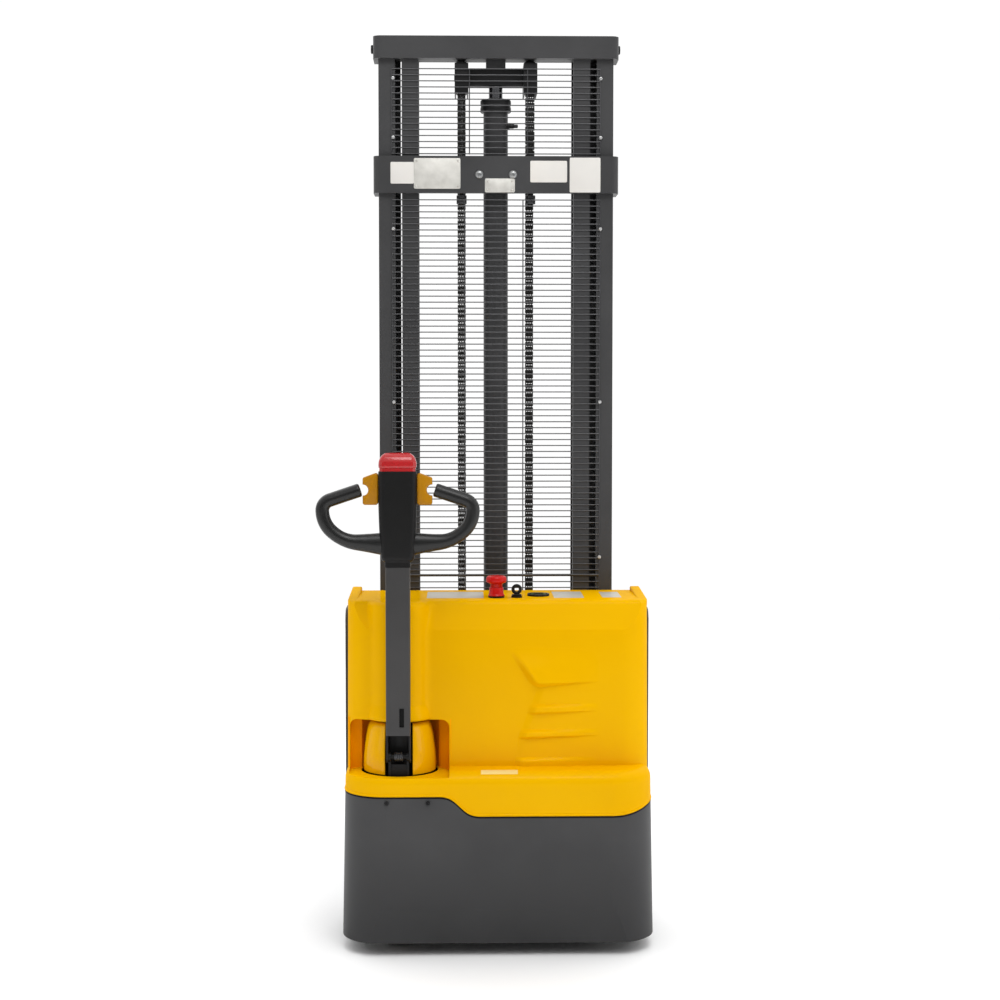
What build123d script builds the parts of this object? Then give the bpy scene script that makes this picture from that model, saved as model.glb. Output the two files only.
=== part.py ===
from build123d import *
from math import radians, tan
import os

# Pedestrian electric stacker with a two-stage mast, in millimetres.
# While it is drawn, X = 0 is the machine's centre plane, Y = 0 the rear face of the skirt on the
# operator's side, and Z = 0 the floor. The forks point along +Y. The finished pieces are moved
# together so that the origin lies on the floor under the middle of the whole machine.

# Overall sizes
body_width = 800
body_depth = 380
carriage_reach = 220
fork_length = 1150
mast_height = 2370
panel_height = 893
stroke_allowance = 620
ground_clearance = 35

# Clearances
running_gap = 0.3
turning_gap = 0.05
seam_gap = 0.6

# Mast rails: outer channels open inwards, inner channels stand inside them
mast_width = 626
rail_depth = 110
rail_flange = 13
outer_web = 12
inner_web = 10
outer_rear_flange = 44
outer_front_flange = 56
inner_flange = 44
rail_gap = 18
inner_rail_lift = 10
inner_rail_drop = 6

# Mast base and cross beams
base_low = 34
base_height = 46
base_overhang = 17
beam_plate = 14
beam_bend = 20
beam_return = 84
top_beam_height = 59
tie_beam_drop = 414
tie_beam_height = 98
pad_height = 46
pad_width = 60
pad_bolt_drop = 25
pad_bolt_radius = 7
pad_bolt_head = 5

# Guard mesh of welded wire
wire = 2.2
wire_pitch = 16
guard_edge = 5
guard_margin = 33
guard_rod_gap = 21
guard_top_gap = 7
guard_beam_gap = 6
guard_tuck = 43
guard_screw_head = 8
guard_screw_inset = 44

# Lift cylinder and chain gear
barrel_radius = 33
barrel_wall = 5
gland_radius = 40
gland_drop = 193
gland_height = 34
rod_radius = 18.5
piston_length = 60
bleed_drop = 35
bleed_radius = 5
bleed_length = 26
crosshead_drop = 124
crosshead_height = 47
crosshead_depth = 44
rod_head_half_width = 26
inner_beam_height = 48
inner_beam_depth = 50
tie_bar_height = 25
tie_bar_plate = 12
chain_x = 92
chain_pitch = 12.7
chain_plate = 11
chain_outer_width = 22
chain_inner_width = 16
chain_wrap_links = 10
chain_seat_radius = 35
wheel_flange_radius = 44
wheel_width = 28
wheel_pin_radius = 10
guard_plate = 4
wheel_guard_gap = 2
wheel_guard_drop = 67
wheel_guard_rise = 41
clamp_half_width = 62
clamp_height = 40
clamp_bolt_x = 45
clamp_bolt_head = 10.5
clamp_bolt_radius = 5

# Rollers
roller_play = 1
roller_width = 28
mast_roller_width = 36
roller_shaft = 14
mast_roller_lift = 50

# Fork carriage
carriage_rest = 5
carriage_height = 360
carriage_setback = 15
carriage_corner = 25
carriage_plate = 12
cheek_gap = 8
bar_setback = 60
bar_depth = 25
bar_half_width = 280
lower_bar_lift = 5
upper_bar_drop = 85
bar_height = 80
lower_roller_lift = 45
upper_roller_drop = 55
window_margin = 20
window_drop = 60
lug_height = 16
lug_half_width = 22
anchor_radius = 8
anchor_nut = 14.4
anchor_head = 30
anchor_stud = 48

# Forks and support legs
fork_spread = 190
fork_width = 170
fork_depth = 60
fork_top = 90
fork_plate = 8
fork_taper_length = 160
fork_tip_width = 104
fork_tip_round = 31
fork_nose_height = 44
shank_width = 130
shank_depth = 35
shank_chamfer = 12
leg_width = 110
leg_plate = 8
leg_top = 76
leg_low = 24
load_roller_radius = 40
load_roller_width = 84
load_axle_radius = 12
load_axle_setback = 110
leg_end = 30
leg_end_round = 15

# Chassis
floor_low = 222
floor_plate = 10
bulkhead_plate = 8
bulkhead_drop = 53
side_plate = 8
side_plate_depth = 152
side_plate_inset = 10
side_plate_low = 60
side_plate_drop = 35
side_plate_round = 35

# Skirt
skirt_wall = 6
skirt_corner = 115
skirt_break = 120
skirt_draft = 1.1
skirt_tuck = 7
seam_left = 408
seam_right = 358
seam_step_start = -150
seam_step_end = -48
seam_rise_inset = 110
seam_rise = 24

# Moulded cover
cover_wall = 5
lip_top = 470
lip_round = 30
cover_base = 440
cover_inset = 11
cover_rear = 95
cover_corner = 70
cover_draft = 0.3
cover_round = 14
slope_height = 73
slope_depth = 25
ear_width = 25
ear_height = 10
ear_round = 4
column_radius = 80
niche_half_width = 128
niche_floor = 455
niche_ceiling = 590
niche_back = 250
niche_round = 22
louvre_left = (103, 76, 60)
louvre_right = 234
louvre_heights = (682, 617, 553)
louvre_size = 20
louvre_deep = 7

# Steered drive unit
steer_inset = 147
steer_y = 135
bearing_outer = 122
bearing_inner = 102
bearing_height = 14
flange_radius = 118
flange_plate = 14
drive_radius = 105
drive_width = 70
tyre_round = 6
hub_radius = 70
drive_axle = 20
case_width = 46
case_half_depth = 50
case_gap = 4
motor_radius = 62
motor_round = 7
brake_radius = 50
brake_height = 46
turret_radius = 95
turret_top_radius = 82
turret_wall = 4
turret_gap = 2
turret_rim_gap = 4
notch_half_width = 36
notch_depth = 22

# Tiller
pivot_y = 42
pivot_rise = 50
pivot_radius = 7
pivot_pin_end = 1
bracket_plate = 6
bracket_depth = 24
arm_width = 61
arm_depth = 34
arm_front = 3
arm_wall = 4
arm_rise = 60
arm_slot_x = 9
arm_slot_width = 12
arm_slot_length = 48
arm_slot_rise = 45
clevis_radius = 15
head_low = 1001
head_length = 228
head_socket = 40
head_sections = ((77, 42), (90, 50), (95, 52))
head_waist = 74
head_corner = 15
cap_rim = 1.6
cap_cavity = 24
cap_stand = 46
cap_depth = 13
cap_round = 14
grip_radius = 16
grip_points = ((40, 46), (135, 52), (187, 95), (191, 149), (98, 180))
grip_bends = (100, 70, 27)
grip_root = (28, 18)
grip_root_length = 110
throttle_drop = 43
throttle_shaft = 8
wing_inner = 50
wing_outer = 90
wing_height = 82
wing_slope = 14
wing_depth = 22
wing_corner = 6
wing_notch = 13
wing_notch_drop = 4
button_radius = 9
button_round = 2
button_stand = 5
button_length = 14
button_pocket = 5
button_side = 24
horn_drop = 46

# Panel controls
switch_y = 190
estop_x = -3
estop_radius = 28.5
estop_neck = 17
estop_stem = 11
estop_collar = 21
estop_collar_height = 5
estop_stand = 57
estop_cap = 20
estop_cap_round = 7
estop_travel = 8
estop_spare = 2
key_x = 50
key_radius = 14
key_collar = 5
key_knob_height = 26
key_bar = 12
gauge_x = 108
gauge_y = 232
gauge_radius = 29
gauge_bezel = 4
gauge_step = 3
switch_depth = 42

# Caster
caster_inset = 138
caster_y = 150
caster_radius = 62.5
caster_width = 50
caster_trail = 38
caster_plate = 8
caster_head = 45
caster_stem = 15
caster_axle = 9
caster_boss = 18
caster_side_gap = 4
caster_nut = 22

# Power and hydraulics inside the cover
battery_depth = 225
battery_height = 215
battery_gap = 4
battery_rear = 112
battery_side_gap = 23
battery_nut_gap = 12
battery_round = 8
tank_width = 230
tank_height = 160
tank_rise = 248
tank_wall_gap = 9
tank_round = 20
filler_radius = 20
filler_height = 22
pump_radius = 50
pump_length = 112
pump_gap = 8
pump_round = 8
controller_width = 120
controller_depth = 50
controller_height = 210
controller_rise = 268
controller_side_gap = 20
controller_fins = 6
hose_radius = 8
hose_x = 62
hose_inset = 20
hose_drop = 150
hose_fall = 218
hose_port_rise = 145
hose_hole = 24
hose_bends = (70, 50)

# Places worked out from the sizes above
corner = (Align.MIN, Align.MIN, Align.MIN)
end_on = (Align.CENTER, Align.CENTER, Align.MIN)
load_face = body_depth + carriage_reach
lift_stroke = mast_height - stroke_allowance
outer_x = mast_width / 2
inner_x = outer_x - outer_rear_flange - rail_gap
rail_rear = body_depth
rail_front = body_depth + rail_depth
rail_middle = body_depth + rail_depth / 2
base_top = base_low + base_height
inner_low = base_top + inner_rail_lift
inner_high = mast_height - inner_rail_drop
tie_beam_low = mast_height - tie_beam_drop
clamp_middle = tie_beam_low + tie_beam_height / 2
roller_radius = rail_depth / 2 - rail_flange - roller_play
mast_roller_height = inner_low + mast_roller_lift
guard_half_width = outer_x - guard_margin
guard_rod_x = chain_x - guard_rod_gap
guard_low = panel_height - guard_tuck
guard_high = tie_beam_low - guard_beam_gap
guard_upper_low = tie_beam_low + tie_beam_height + guard_beam_gap
guard_upper_high = mast_height - top_beam_height - guard_top_gap
gland_low = mast_height - gland_drop
crosshead_low = mast_height - crosshead_drop
chain_axle_z = crosshead_low + crosshead_height / 2
chain_radius = chain_seat_radius + chain_plate / 2
chain_front_y = rail_middle + chain_radius
chain_rear_y = rail_middle - chain_radius
carriage_low = inner_low + tie_bar_height + carriage_rest
carriage_top = carriage_low + carriage_height
carriage_rear = rail_rear + carriage_setback
lower_bar_low = carriage_low + lower_bar_lift
upper_bar_low = carriage_top - upper_bar_drop
lower_roller_height = carriage_low + lower_roller_lift
upper_roller_height = carriage_top - upper_roller_drop
chain_front_links = int((chain_axle_z - carriage_top + chain_plate + anchor_head) // chain_pitch)
chain_rear_links = int((chain_axle_z - tie_beam_low - tie_beam_height + lug_height) // chain_pitch)
chain_front_low = chain_axle_z - chain_front_links * chain_pitch
chain_rear_low = chain_axle_z - chain_rear_links * chain_pitch
bar_rear = load_face - bar_setback
bar_front = bar_rear + bar_depth
fork_tip = load_face + fork_length
load_axle_y = fork_tip - load_axle_setback
floor_top = floor_low + floor_plate
bulkhead_rear = body_depth - bulkhead_plate
bulkhead_top = panel_height - bulkhead_drop
side_plate_x = body_width / 2 - side_plate_inset
side_plate_rear = body_depth - side_plate_depth
side_plate_top = panel_height - side_plate_drop
cover_half_width = body_width / 2 - cover_inset
slope_low = panel_height - slope_height
steer_x = steer_inset - body_width / 2
bearing_top = floor_top + bearing_height
flange_top = bearing_top + running_gap + flange_plate
motor_top = niche_ceiling - turret_gap - turret_wall
pivot_z = niche_floor + pivot_rise
arm_low = pivot_z + arm_rise
arm_back = arm_front + arm_depth
arm_middle = arm_front + arm_depth / 2
arm_half = arm_width / 2
head_high = head_low + head_length
head_mid = head_low + head_waist
head_half_depth = head_sections[2][1] / 2
throttle_height = head_high - throttle_drop
button_spots = {
    "lift_button": (-button_side, throttle_height),
    "lower_button": (button_side, throttle_height),
    "horn_button": (0, throttle_height - horn_drop),
}
caster_x = body_width / 2 - caster_inset
battery_left = steer_x + flange_radius + battery_side_gap
battery_width = (caster_x - caster_nut - battery_nut_gap - battery_left - battery_gap) / 2
controller_left = side_plate_x - controller_side_gap - controller_width
controller_low = floor_top + controller_rise
tank_low = floor_top + tank_rise
tank_left = controller_left - pump_gap - pump_length - tank_width
tank_rear = niche_back + cover_wall + tank_wall_gap
hose_points = (
    (bulkhead_rear - hose_inset, tank_low),
    (bulkhead_rear - hose_inset, tank_low - hose_drop),
    (body_depth + hose_inset, tank_low - hose_fall),
    (rail_middle, base_top + hose_port_rise),
)
hose_run = (bulkhead_rear + bulkhead_plate / 2 - hose_points[1][0]) / (hose_points[2][0] - hose_points[1][0])
hose_cross_z = hose_points[1][1] + hose_run * (hose_points[2][1] - hose_points[1][1])


def block(x0, x1, y0, y1, z0, z1):
    """A box between two corners."""
    return Pos(x0, y0, z0) * Box(x1 - x0, y1 - y0, z1 - z0, align=corner)


def rod_x(x0, x1, y, z, radius):
    """A round bar along X."""
    return Pos(x0, y, z) * Rot(0, 90, 0) * Cylinder(radius, x1 - x0, align=end_on)


def rod_y(x, y0, y1, z, radius):
    """A round bar along Y."""
    return Pos(x, y0, z) * Rot(-90, 0, 0) * Cylinder(radius, y1 - y0, align=end_on)


def rod_z(x, y, z0, z1, radius):
    """A round bar along Z."""
    return Pos(x, y, z0) * Cylinder(radius, z1 - z0, align=end_on)


def mirrored(shape):
    """The same piece on the other side of the centre plane."""
    return mirror(shape, about=Plane.YZ)


def both_sides(shape):
    """A piece and its mirror image, as two separate solids."""
    return Compound(children=[*shape.solids(), *mirrored(shape).solids()])


def side_cut(points, x0, x1):
    """A prism along X from an outline in Y and Z."""
    face = make_face(Polyline(*points, close=True))
    return extrude(Plane.YZ.offset(x0) * face, x1 - x0)


# Mast

def outer_rail():
    """Right outer channel: web outside, the front flange wider than the rear one."""
    web = block(outer_x - outer_web, outer_x, rail_rear, rail_front, base_top, mast_height)
    rear = block(outer_x - outer_rear_flange, outer_x, rail_rear, rail_rear + rail_flange,
                 base_top, mast_height)
    front = block(outer_x - outer_front_flange, outer_x, rail_front - rail_flange, rail_front,
                  base_top, mast_height)
    rail = web + rear + front
    bolt = rod_x(outer_x - outer_web, outer_x, rail_middle, mast_height - pad_bolt_drop, pad_bolt_radius)
    return rail - bolt


def inner_rail():
    """Right inner channel with the stub shaft of its mast roller."""
    web = block(inner_x - inner_web, inner_x, rail_rear, rail_front, inner_low, inner_high)
    rear = block(inner_x - inner_flange, inner_x, rail_rear, rail_rear + rail_flange,
                 inner_low, inner_high)
    front = block(inner_x - inner_flange, inner_x, rail_front - rail_flange, rail_front,
                  inner_low, inner_high)
    shaft = rod_x(inner_x, outer_x - outer_web - roller_play, rail_middle, mast_roller_height,
                  roller_shaft)
    return web + rear + front + shaft


def bent_beam(low, height):
    """A cross beam of bent plate that wraps the rear corners of both outer rails."""
    half = outer_x + beam_plate
    length = beam_plate + beam_return
    face = Pos(0, rail_rear - beam_plate + length / 2) * Rectangle(2 * half, length)
    face = fillet(face.vertices().group_by(Axis.Y)[0], beam_bend)
    inside = Pos(0, rail_rear + length / 2) * Rectangle(2 * outer_x, length)
    return Pos(0, 0, low) * extrude(face - inside, height)


def mast_top_beam():
    beam = bent_beam(mast_height - top_beam_height, top_beam_height)
    half = outer_x + beam_plate
    bolts = rod_x(-half, half, rail_middle, mast_height - pad_bolt_drop, pad_bolt_radius)
    return beam - bolts


def mast_tie_beam():
    """The lower cross beam, with the chain anchor blocks welded to its front."""
    beam = bent_beam(tie_beam_low, tie_beam_height)
    low = chain_rear_low - anchor_head - lug_height
    lug = block(chain_x - lug_half_width, chain_x + lug_half_width, rail_rear,
                chain_rear_y + chain_plate, low, low + lug_height)
    hole = rod_z(chain_x, chain_rear_y, low, low + lug_height, anchor_radius)
    lug = lug - hole
    bolts = rod_y(clamp_bolt_x, rail_rear - beam_plate, rail_rear, clamp_middle, clamp_bolt_radius)
    return beam + lug + mirrored(lug) - bolts - mirrored(bolts)


def cylinder_clamp():
    """Saddle block between the tie beam and the barrel."""
    low = clamp_middle - clamp_height / 2
    saddle = block(-clamp_half_width, clamp_half_width, rail_rear, rail_middle, low, low + clamp_height)
    seat = rod_z(0, rail_middle, low, low + clamp_height, barrel_radius)
    bolts = rod_y(clamp_bolt_x, rail_rear, rail_middle, clamp_middle, clamp_bolt_radius)
    return saddle - seat - bolts - mirrored(bolts)


def mast_base():
    """Box beam that the rails and the barrel stand on; the legs are welded to its front."""
    half = outer_x + base_overhang
    beam = block(-half, half, rail_rear, rail_front, base_low, base_top)
    return chamfer(beam.edges().filter_by(Axis.Z), base_overhang / 2)


def guide_pads():
    """Nylon blocks at the top of the outer rails that steady the inner rails."""
    low = mast_height - inner_rail_drop - pad_height
    pad = block(inner_x + running_gap, outer_x - outer_web, rail_middle - pad_width / 2,
                rail_middle + pad_width / 2, low, low + pad_height)
    return both_sides(pad)


def mast_bolts():
    """Guide pad bolts, clamp bolts and guard screws, each a separate piece."""
    half = outer_x + beam_plate
    height = mast_height - pad_bolt_drop
    pad_bolt = rod_x(outer_x - outer_web, half, rail_middle, height, pad_bolt_radius)
    head = Pos(half, rail_middle, height) * Rot(0, 90, 0) * extrude(
        RegularPolygon(2 * pad_bolt_radius, 6), pad_bolt_head)
    solids = [*both_sides(pad_bolt + head).solids()]
    face = rail_rear - beam_plate
    shank = rod_y(clamp_bolt_x, face, rail_middle, clamp_middle, clamp_bolt_radius)
    shank = shank - rod_z(0, rail_middle, clamp_middle - clamp_height, clamp_middle + clamp_height,
                          barrel_radius)
    dome = Pos(clamp_bolt_x, face, clamp_middle) * Sphere(clamp_bolt_head)
    dome = dome & block(0, body_width, 0, face, 0, mast_height)
    solids += [*both_sides(shank.solids().sort_by(Axis.Y)[0] + dome).solids()]
    middle = (guard_low + guard_high) / 2
    heights = [guard_upper_high - guard_screw_inset, guard_upper_low + guard_screw_inset,
               guard_high - 2 * guard_screw_inset, middle, guard_low + 3 * guard_screw_inset]
    for height in heights:
        x = guard_half_width - guard_edge / 2
        screw = rod_y(x, rail_rear - wire - guard_screw_head / 2, rail_rear - wire, height,
                      guard_screw_head)
        solids += [*both_sides(screw).solids()]
    return Compound(children=solids)


def guard_panel(low, high):
    """Welded wire panel: level wires in an edge frame, with two upright rods behind them."""
    count = int((high - low - guard_edge) // wire_pitch)
    top = low + count * wire_pitch + wire
    width = 2 * guard_half_width
    sheet = Pos(0, (low + top) / 2) * Rectangle(width, top - low)
    gap = Rectangle(width - 2 * guard_edge, wire_pitch - wire)
    middles = [low + wire + (row + 0.5) * wire_pitch - wire / 2 for row in range(count)]
    face = sheet - [Pos(0, height) * gap for height in middles]
    panel = extrude(Plane.XZ.offset(-rail_rear) * face, wire)
    rod = block(guard_rod_x - wire, guard_rod_x + wire, rail_rear, rail_rear + 2 * wire, low, top)
    return panel, rod


def guard_mesh(low, high):
    panel, rod = guard_panel(low, high)
    return panel + rod + mirrored(rod)


# Lift cylinder, inner mast and chains

def lift_cylinder():
    """Barrel with its closed foot, and the gland screwed on top as a second solid."""
    barrel = rod_z(0, rail_middle, base_top, gland_low, barrel_radius)
    bore_low = base_top + 4 * barrel_wall
    barrel -= rod_z(0, rail_middle, bore_low, gland_low, barrel_radius - barrel_wall)
    bleed = rod_x(barrel_radius - barrel_wall / 2, barrel_radius + bleed_length, rail_middle,
                  gland_low - bleed_drop, bleed_radius)
    port = rod_x(barrel_radius - barrel_wall / 2, hose_x - hose_radius, rail_middle,
                 hose_points[-1][1], hose_radius + 2)
    gland = rod_z(0, rail_middle, gland_low, gland_low + gland_height, gland_radius)
    gland = chamfer(gland.edges(), barrel_wall)
    gland -= rod_z(0, rail_middle, gland_low, gland_low + gland_height, rod_radius + turning_gap)
    return Compound(children=[*(barrel + bleed + port).solids(), *gland.solids()])


def piston_rod():
    """Chromed rod with its piston, which stays under the gland at full stroke."""
    low = gland_low - lift_stroke - 2 * piston_length
    rod = rod_z(0, rail_middle, low, crosshead_low, rod_radius)
    piston_radius = barrel_radius - barrel_wall - running_gap
    return rod + rod_z(0, rail_middle, low, low + piston_length, piston_radius)


def chain_crosshead():
    """Bar on the rod that carries a guarded yoke and pin for each chain wheel."""
    side = chain_x - wheel_width / 2 - running_gap - guard_plate
    outside = chain_x + wheel_width / 2 + running_gap + guard_plate
    half = crosshead_depth / 2
    bar = block(-side, side, rail_middle - half, rail_middle + half, crosshead_low,
                crosshead_low + crosshead_height)
    rear = chain_rear_y - chain_plate / 2 - guard_plate - wheel_guard_gap
    low = chain_axle_z - wheel_guard_drop
    high = chain_axle_z + wheel_guard_rise
    yoke = block(side, outside, rear, rail_middle + wheel_flange_radius, low, high)
    yoke -= block(side + guard_plate, outside - guard_plate, rear + guard_plate,
                  rail_middle + wheel_flange_radius, low, high)
    pin = rod_x(side, outside, rail_middle, chain_axle_z, wheel_pin_radius)
    yoke = yoke + pin
    return bar + yoke + mirrored(yoke)


def inner_top_beam():
    """Beam between the tops of the inner rails, with the block that the rod pushes on."""
    half = inner_x - inner_web
    low = inner_high - inner_beam_height
    beam = block(-half, half, rail_middle - inner_beam_depth / 2, rail_middle + inner_beam_depth / 2,
                 low, inner_high)
    push = block(-rod_head_half_width, rod_head_half_width, rail_middle - crosshead_depth / 2,
                 rail_middle + crosshead_depth / 2, crosshead_low + crosshead_height, low)
    return beam + push


def inner_tie_bar():
    """Bar across the feet of the inner rails, in front of the barrel."""
    half = inner_x - inner_flange
    return block(-half, half, rail_front - tie_bar_plate, rail_front, inner_low, inner_low + tie_bar_height)


def chain_run(y, low, links):
    """A straight leaf chain: wide and narrow link packs in turn, one pitch each."""
    right = []
    for link in range(links):
        half = (chain_outer_width if link % 2 == 0 else chain_inner_width) / 2
        right += [(half, low + link * chain_pitch), (half, low + (link + 1) * chain_pitch)]
    left = [(-x, z) for x, z in reversed(right)]
    face = Pos(chain_x, 0) * make_face(Polyline(*right, *left, close=True))
    return extrude(Plane.XZ.offset(-y - chain_plate / 2) * face, chain_plate)


def chain_wrap():
    """The half turn of chain over the wheel, in link packs of two widths."""
    axis = Axis((0, rail_middle, chain_axle_z), (-1, 0, 0))
    turn = 180 / chain_wrap_links
    wrap = []
    for link in range(chain_wrap_links):
        width = chain_outer_width if link % 2 == 1 else chain_inner_width
        face = Pos(chain_x, rail_middle - chain_radius, chain_axle_z) * Rectangle(width, chain_plate)
        wrap.append(revolve(face, axis, turn).rotate(axis, link * turn))
    return wrap[0].fuse(*wrap[1:])


def chain_wheel():
    """Flanged wheel that the chain runs on."""
    half = wheel_width / 2
    cheek = (wheel_width - chain_outer_width) / 2 - running_gap
    seat = chain_seat_radius - running_gap
    bore = wheel_pin_radius + turning_gap
    points = ((-half, bore), (-half, wheel_flange_radius), (cheek - half, wheel_flange_radius),
              (cheek - half, seat), (half - cheek, seat), (half - cheek, wheel_flange_radius),
              (half, wheel_flange_radius), (half, bore))
    face = Pos(chain_x, rail_middle, chain_axle_z) * make_face(Polyline(*points, close=True))
    return revolve(face, Axis((0, rail_middle, chain_axle_z), (1, 0, 0)), 360)


def chain_anchors():
    """Threaded anchors of the still chain ends, hanging in the tie beam's blocks."""
    bottom = chain_rear_low - anchor_head - lug_height
    head = block(chain_x - chain_outer_width / 2, chain_x + chain_outer_width / 2,
                 chain_rear_y - chain_plate / 2, chain_rear_y + chain_plate / 2,
                 bottom + lug_height, chain_rear_low)
    stud = rod_z(chain_x, chain_rear_y, tie_beam_low - anchor_head, bottom + lug_height, anchor_radius)
    nut = Pos(chain_x, chain_rear_y, bottom - anchor_radius) * extrude(
        RegularPolygon(anchor_nut, 6), anchor_radius)
    return both_sides(head + stud + nut)


def carriage_anchors():
    """Threaded anchors of the moving chain ends, standing in the carriage lugs."""
    top = chain_front_low - anchor_head
    head = block(chain_x - chain_outer_width / 2, chain_x + chain_outer_width / 2,
                 chain_front_y - chain_plate / 2, chain_front_y + chain_plate / 2,
                 top, chain_front_low)
    stud = rod_z(chain_x, chain_front_y, top - anchor_stud, top, anchor_radius)
    nut = Pos(chain_x, chain_front_y, top - lug_height - anchor_radius) * extrude(
        RegularPolygon(anchor_nut, 6), anchor_radius)
    return both_sides(head + stud + nut)


def roller(x, width, height, radius, bore):
    """A crowned steel roller on an axle along X."""
    ring = rod_x(x, x + width, rail_middle, height, radius)
    ring = chamfer(ring.edges().filter_by(GeomType.CIRCLE), 3 * roller_play)
    return ring - rod_x(x, x + width, rail_middle, height, bore + turning_gap)


def mast_rollers():
    x = outer_x - outer_web - 2 * roller_play - mast_roller_width
    return both_sides(roller(x, mast_roller_width, mast_roller_height, roller_radius, roller_shaft))


def carriage_rollers(height):
    x = inner_x - inner_web - roller_play - roller_width
    return both_sides(roller(x, roller_width, height, roller_radius, roller_shaft))


# Fork carriage and forks

def fork_carriage():
    """Two roller plates and two cross bars, with lugs for the chain anchors."""
    outside = inner_x - inner_flange - cheek_gap
    inside = outside - carriage_plate
    nose = rail_front - rail_flange
    cut = carriage_corner
    outline = ((carriage_rear, carriage_low + cut), (carriage_rear + cut, carriage_low),
               (bar_rear, carriage_low), (bar_rear, carriage_top),
               (carriage_rear + cut, carriage_top), (carriage_rear, carriage_top - cut))
    cheek = side_cut(outline, inside, outside)
    window_low = lower_bar_low + bar_height
    window_high = upper_bar_low - window_drop
    window_front = bar_rear - window_margin
    window = side_cut(((nose, window_low), (window_front, window_low), (window_front, window_high),
                       (nose, window_high)), inside, outside)
    cheek -= window
    for height in (lower_roller_height, upper_roller_height):
        cheek += rod_x(outside, inner_x - inner_web - roller_play, rail_middle, height, roller_shaft)
    lug_top = chain_front_low - anchor_head
    lug = block(chain_x - lug_half_width, inside, chain_front_y - chain_plate,
                bar_rear, lug_top - lug_height, lug_top)
    lug -= rod_z(chain_x, chain_front_y, lug_top - lug_height, lug_top, anchor_radius)
    frame = cheek + lug
    frame += mirrored(frame)
    for low in (lower_bar_low, upper_bar_low):
        frame += block(-bar_half_width, bar_half_width, bar_rear, bar_front, low, low + bar_height)
    return frame


def fork():
    """Right fork: a folded channel that drops over the leg, and its upright shank."""
    half = fork_width / 2
    low = fork_top - fork_depth
    blade = block(fork_spread - half, fork_spread + half, bar_front, fork_tip, low, fork_top)
    blade -= block(fork_spread - half + fork_plate, fork_spread + half - fork_plate, bar_front, fork_tip,
                   low, fork_top - fork_plate)
    start = fork_tip - fork_taper_length
    tip = fork_tip_width / 2
    plan = make_face(Polyline((-half, bar_front), (half, bar_front), (half, start), (tip, fork_tip),
                              (-tip, fork_tip), (-half, start), close=True))
    plan = fillet(plan.vertices().group_by(Axis.Y)[-1], fork_tip_round)
    blade = blade & Pos(fork_spread, 0, low) * extrude(plan, fork_depth)
    nose = side_cut(((start, low), (fork_tip, low), (fork_tip, low + fork_nose_height)),
                    fork_spread - half, fork_spread + half)
    shank_half = shank_width / 2
    shank = block(fork_spread - shank_half, fork_spread + shank_half, bar_front, bar_front + shank_depth,
                  fork_top, upper_bar_low + bar_height)
    shank = chamfer(shank.edges().filter_by(Axis.Y).group_by(Axis.Z)[-1], shank_chamfer)
    return blade - nose + shank


def support_leg():
    """Right leg: a channel open downwards, with the load roller's axle in its end."""
    half = leg_width / 2
    end = load_axle_y + leg_end
    cut = load_axle_y - load_roller_radius - 3 * roller_play
    leg = block(fork_spread - half, fork_spread + half, rail_front, end, leg_low, leg_top)
    leg -= block(fork_spread - half + leg_plate, fork_spread + half - leg_plate, rail_front, end,
                 leg_low, leg_top - leg_plate)
    leg -= block(fork_spread - half + leg_plate, fork_spread + half - leg_plate, cut, end,
                 leg_low, leg_top)
    edges = leg.edges().filter_by(Axis.X).group_by(Axis.Y)[-1]
    leg = fillet(edges, leg_end_round)
    axle = rod_x(fork_spread - half, fork_spread + half, load_axle_y, load_roller_radius, load_axle_radius)
    return leg + axle


def load_roller():
    half = load_roller_width / 2
    wheel = rod_x(fork_spread - half, fork_spread + half, load_axle_y, load_roller_radius,
                  load_roller_radius)
    wheel = chamfer(wheel.edges().filter_by(GeomType.CIRCLE), 4 * roller_play)
    return wheel - rod_x(fork_spread - half, fork_spread + half, load_axle_y, load_roller_radius,
                         load_axle_radius + turning_gap)


# Chassis, skirt and cover

def plan_face(half_width, rear, front, radius):
    """A plan outline with rounded rear corners."""
    face = Pos(0, (rear + front) / 2) * Rectangle(2 * half_width, front - rear)
    return fillet(face.vertices().group_by(Axis.Y)[0], radius)


def lower_form(inset):
    """Skirt and lip as one drafted solid, drawn in all round by inset, its rear foot tucked in."""
    face = plan_face(body_width / 2 - inset, inset, side_plate_rear + skirt_corner, skirt_corner - inset)
    low = ground_clearance - (inset > 0)
    form = Pos(0, 0, low) * extrude(face, lip_top - inset - low, taper=skirt_draft)
    form = fillet(form.edges().group_by(Axis.Z)[-1].sort_by(Axis.Y)[:-1], lip_round - inset)
    crease = inset + (skirt_break - low) * tan(radians(skirt_draft))
    foot = side_cut(((crease, skirt_break), (inset + skirt_tuck, low), (-body_depth, low),
                     (-body_depth, skirt_break)), -body_width, body_width)
    return form - foot


def below_seam(gap):
    """Everything under the swept seam between skirt and cover."""
    reach = body_width
    left = seam_left + gap
    right = seam_right + gap
    end = right + seam_rise
    middle = (seam_step_start + seam_step_end) / 2
    seam_rise_start = body_width / 2 - seam_rise_inset
    rise_middle = (seam_rise_start + body_width / 2) / 2
    lines = [
        Line((-reach, left), (seam_step_start, left)),
        Bezier((seam_step_start, left), (middle, left), (middle, right), (seam_step_end, right)),
        Line((seam_step_end, right), (seam_rise_start, right)),
        Bezier((seam_rise_start, right), (rise_middle, right), (body_width / 2, end)),
        Polyline((body_width / 2, end), (reach, end), (reach, -reach), (-reach, -reach), (-reach, left)),
    ]
    face = make_face(lines)
    return extrude(Plane.XZ.offset(reach) * face, -2 * reach)


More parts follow.
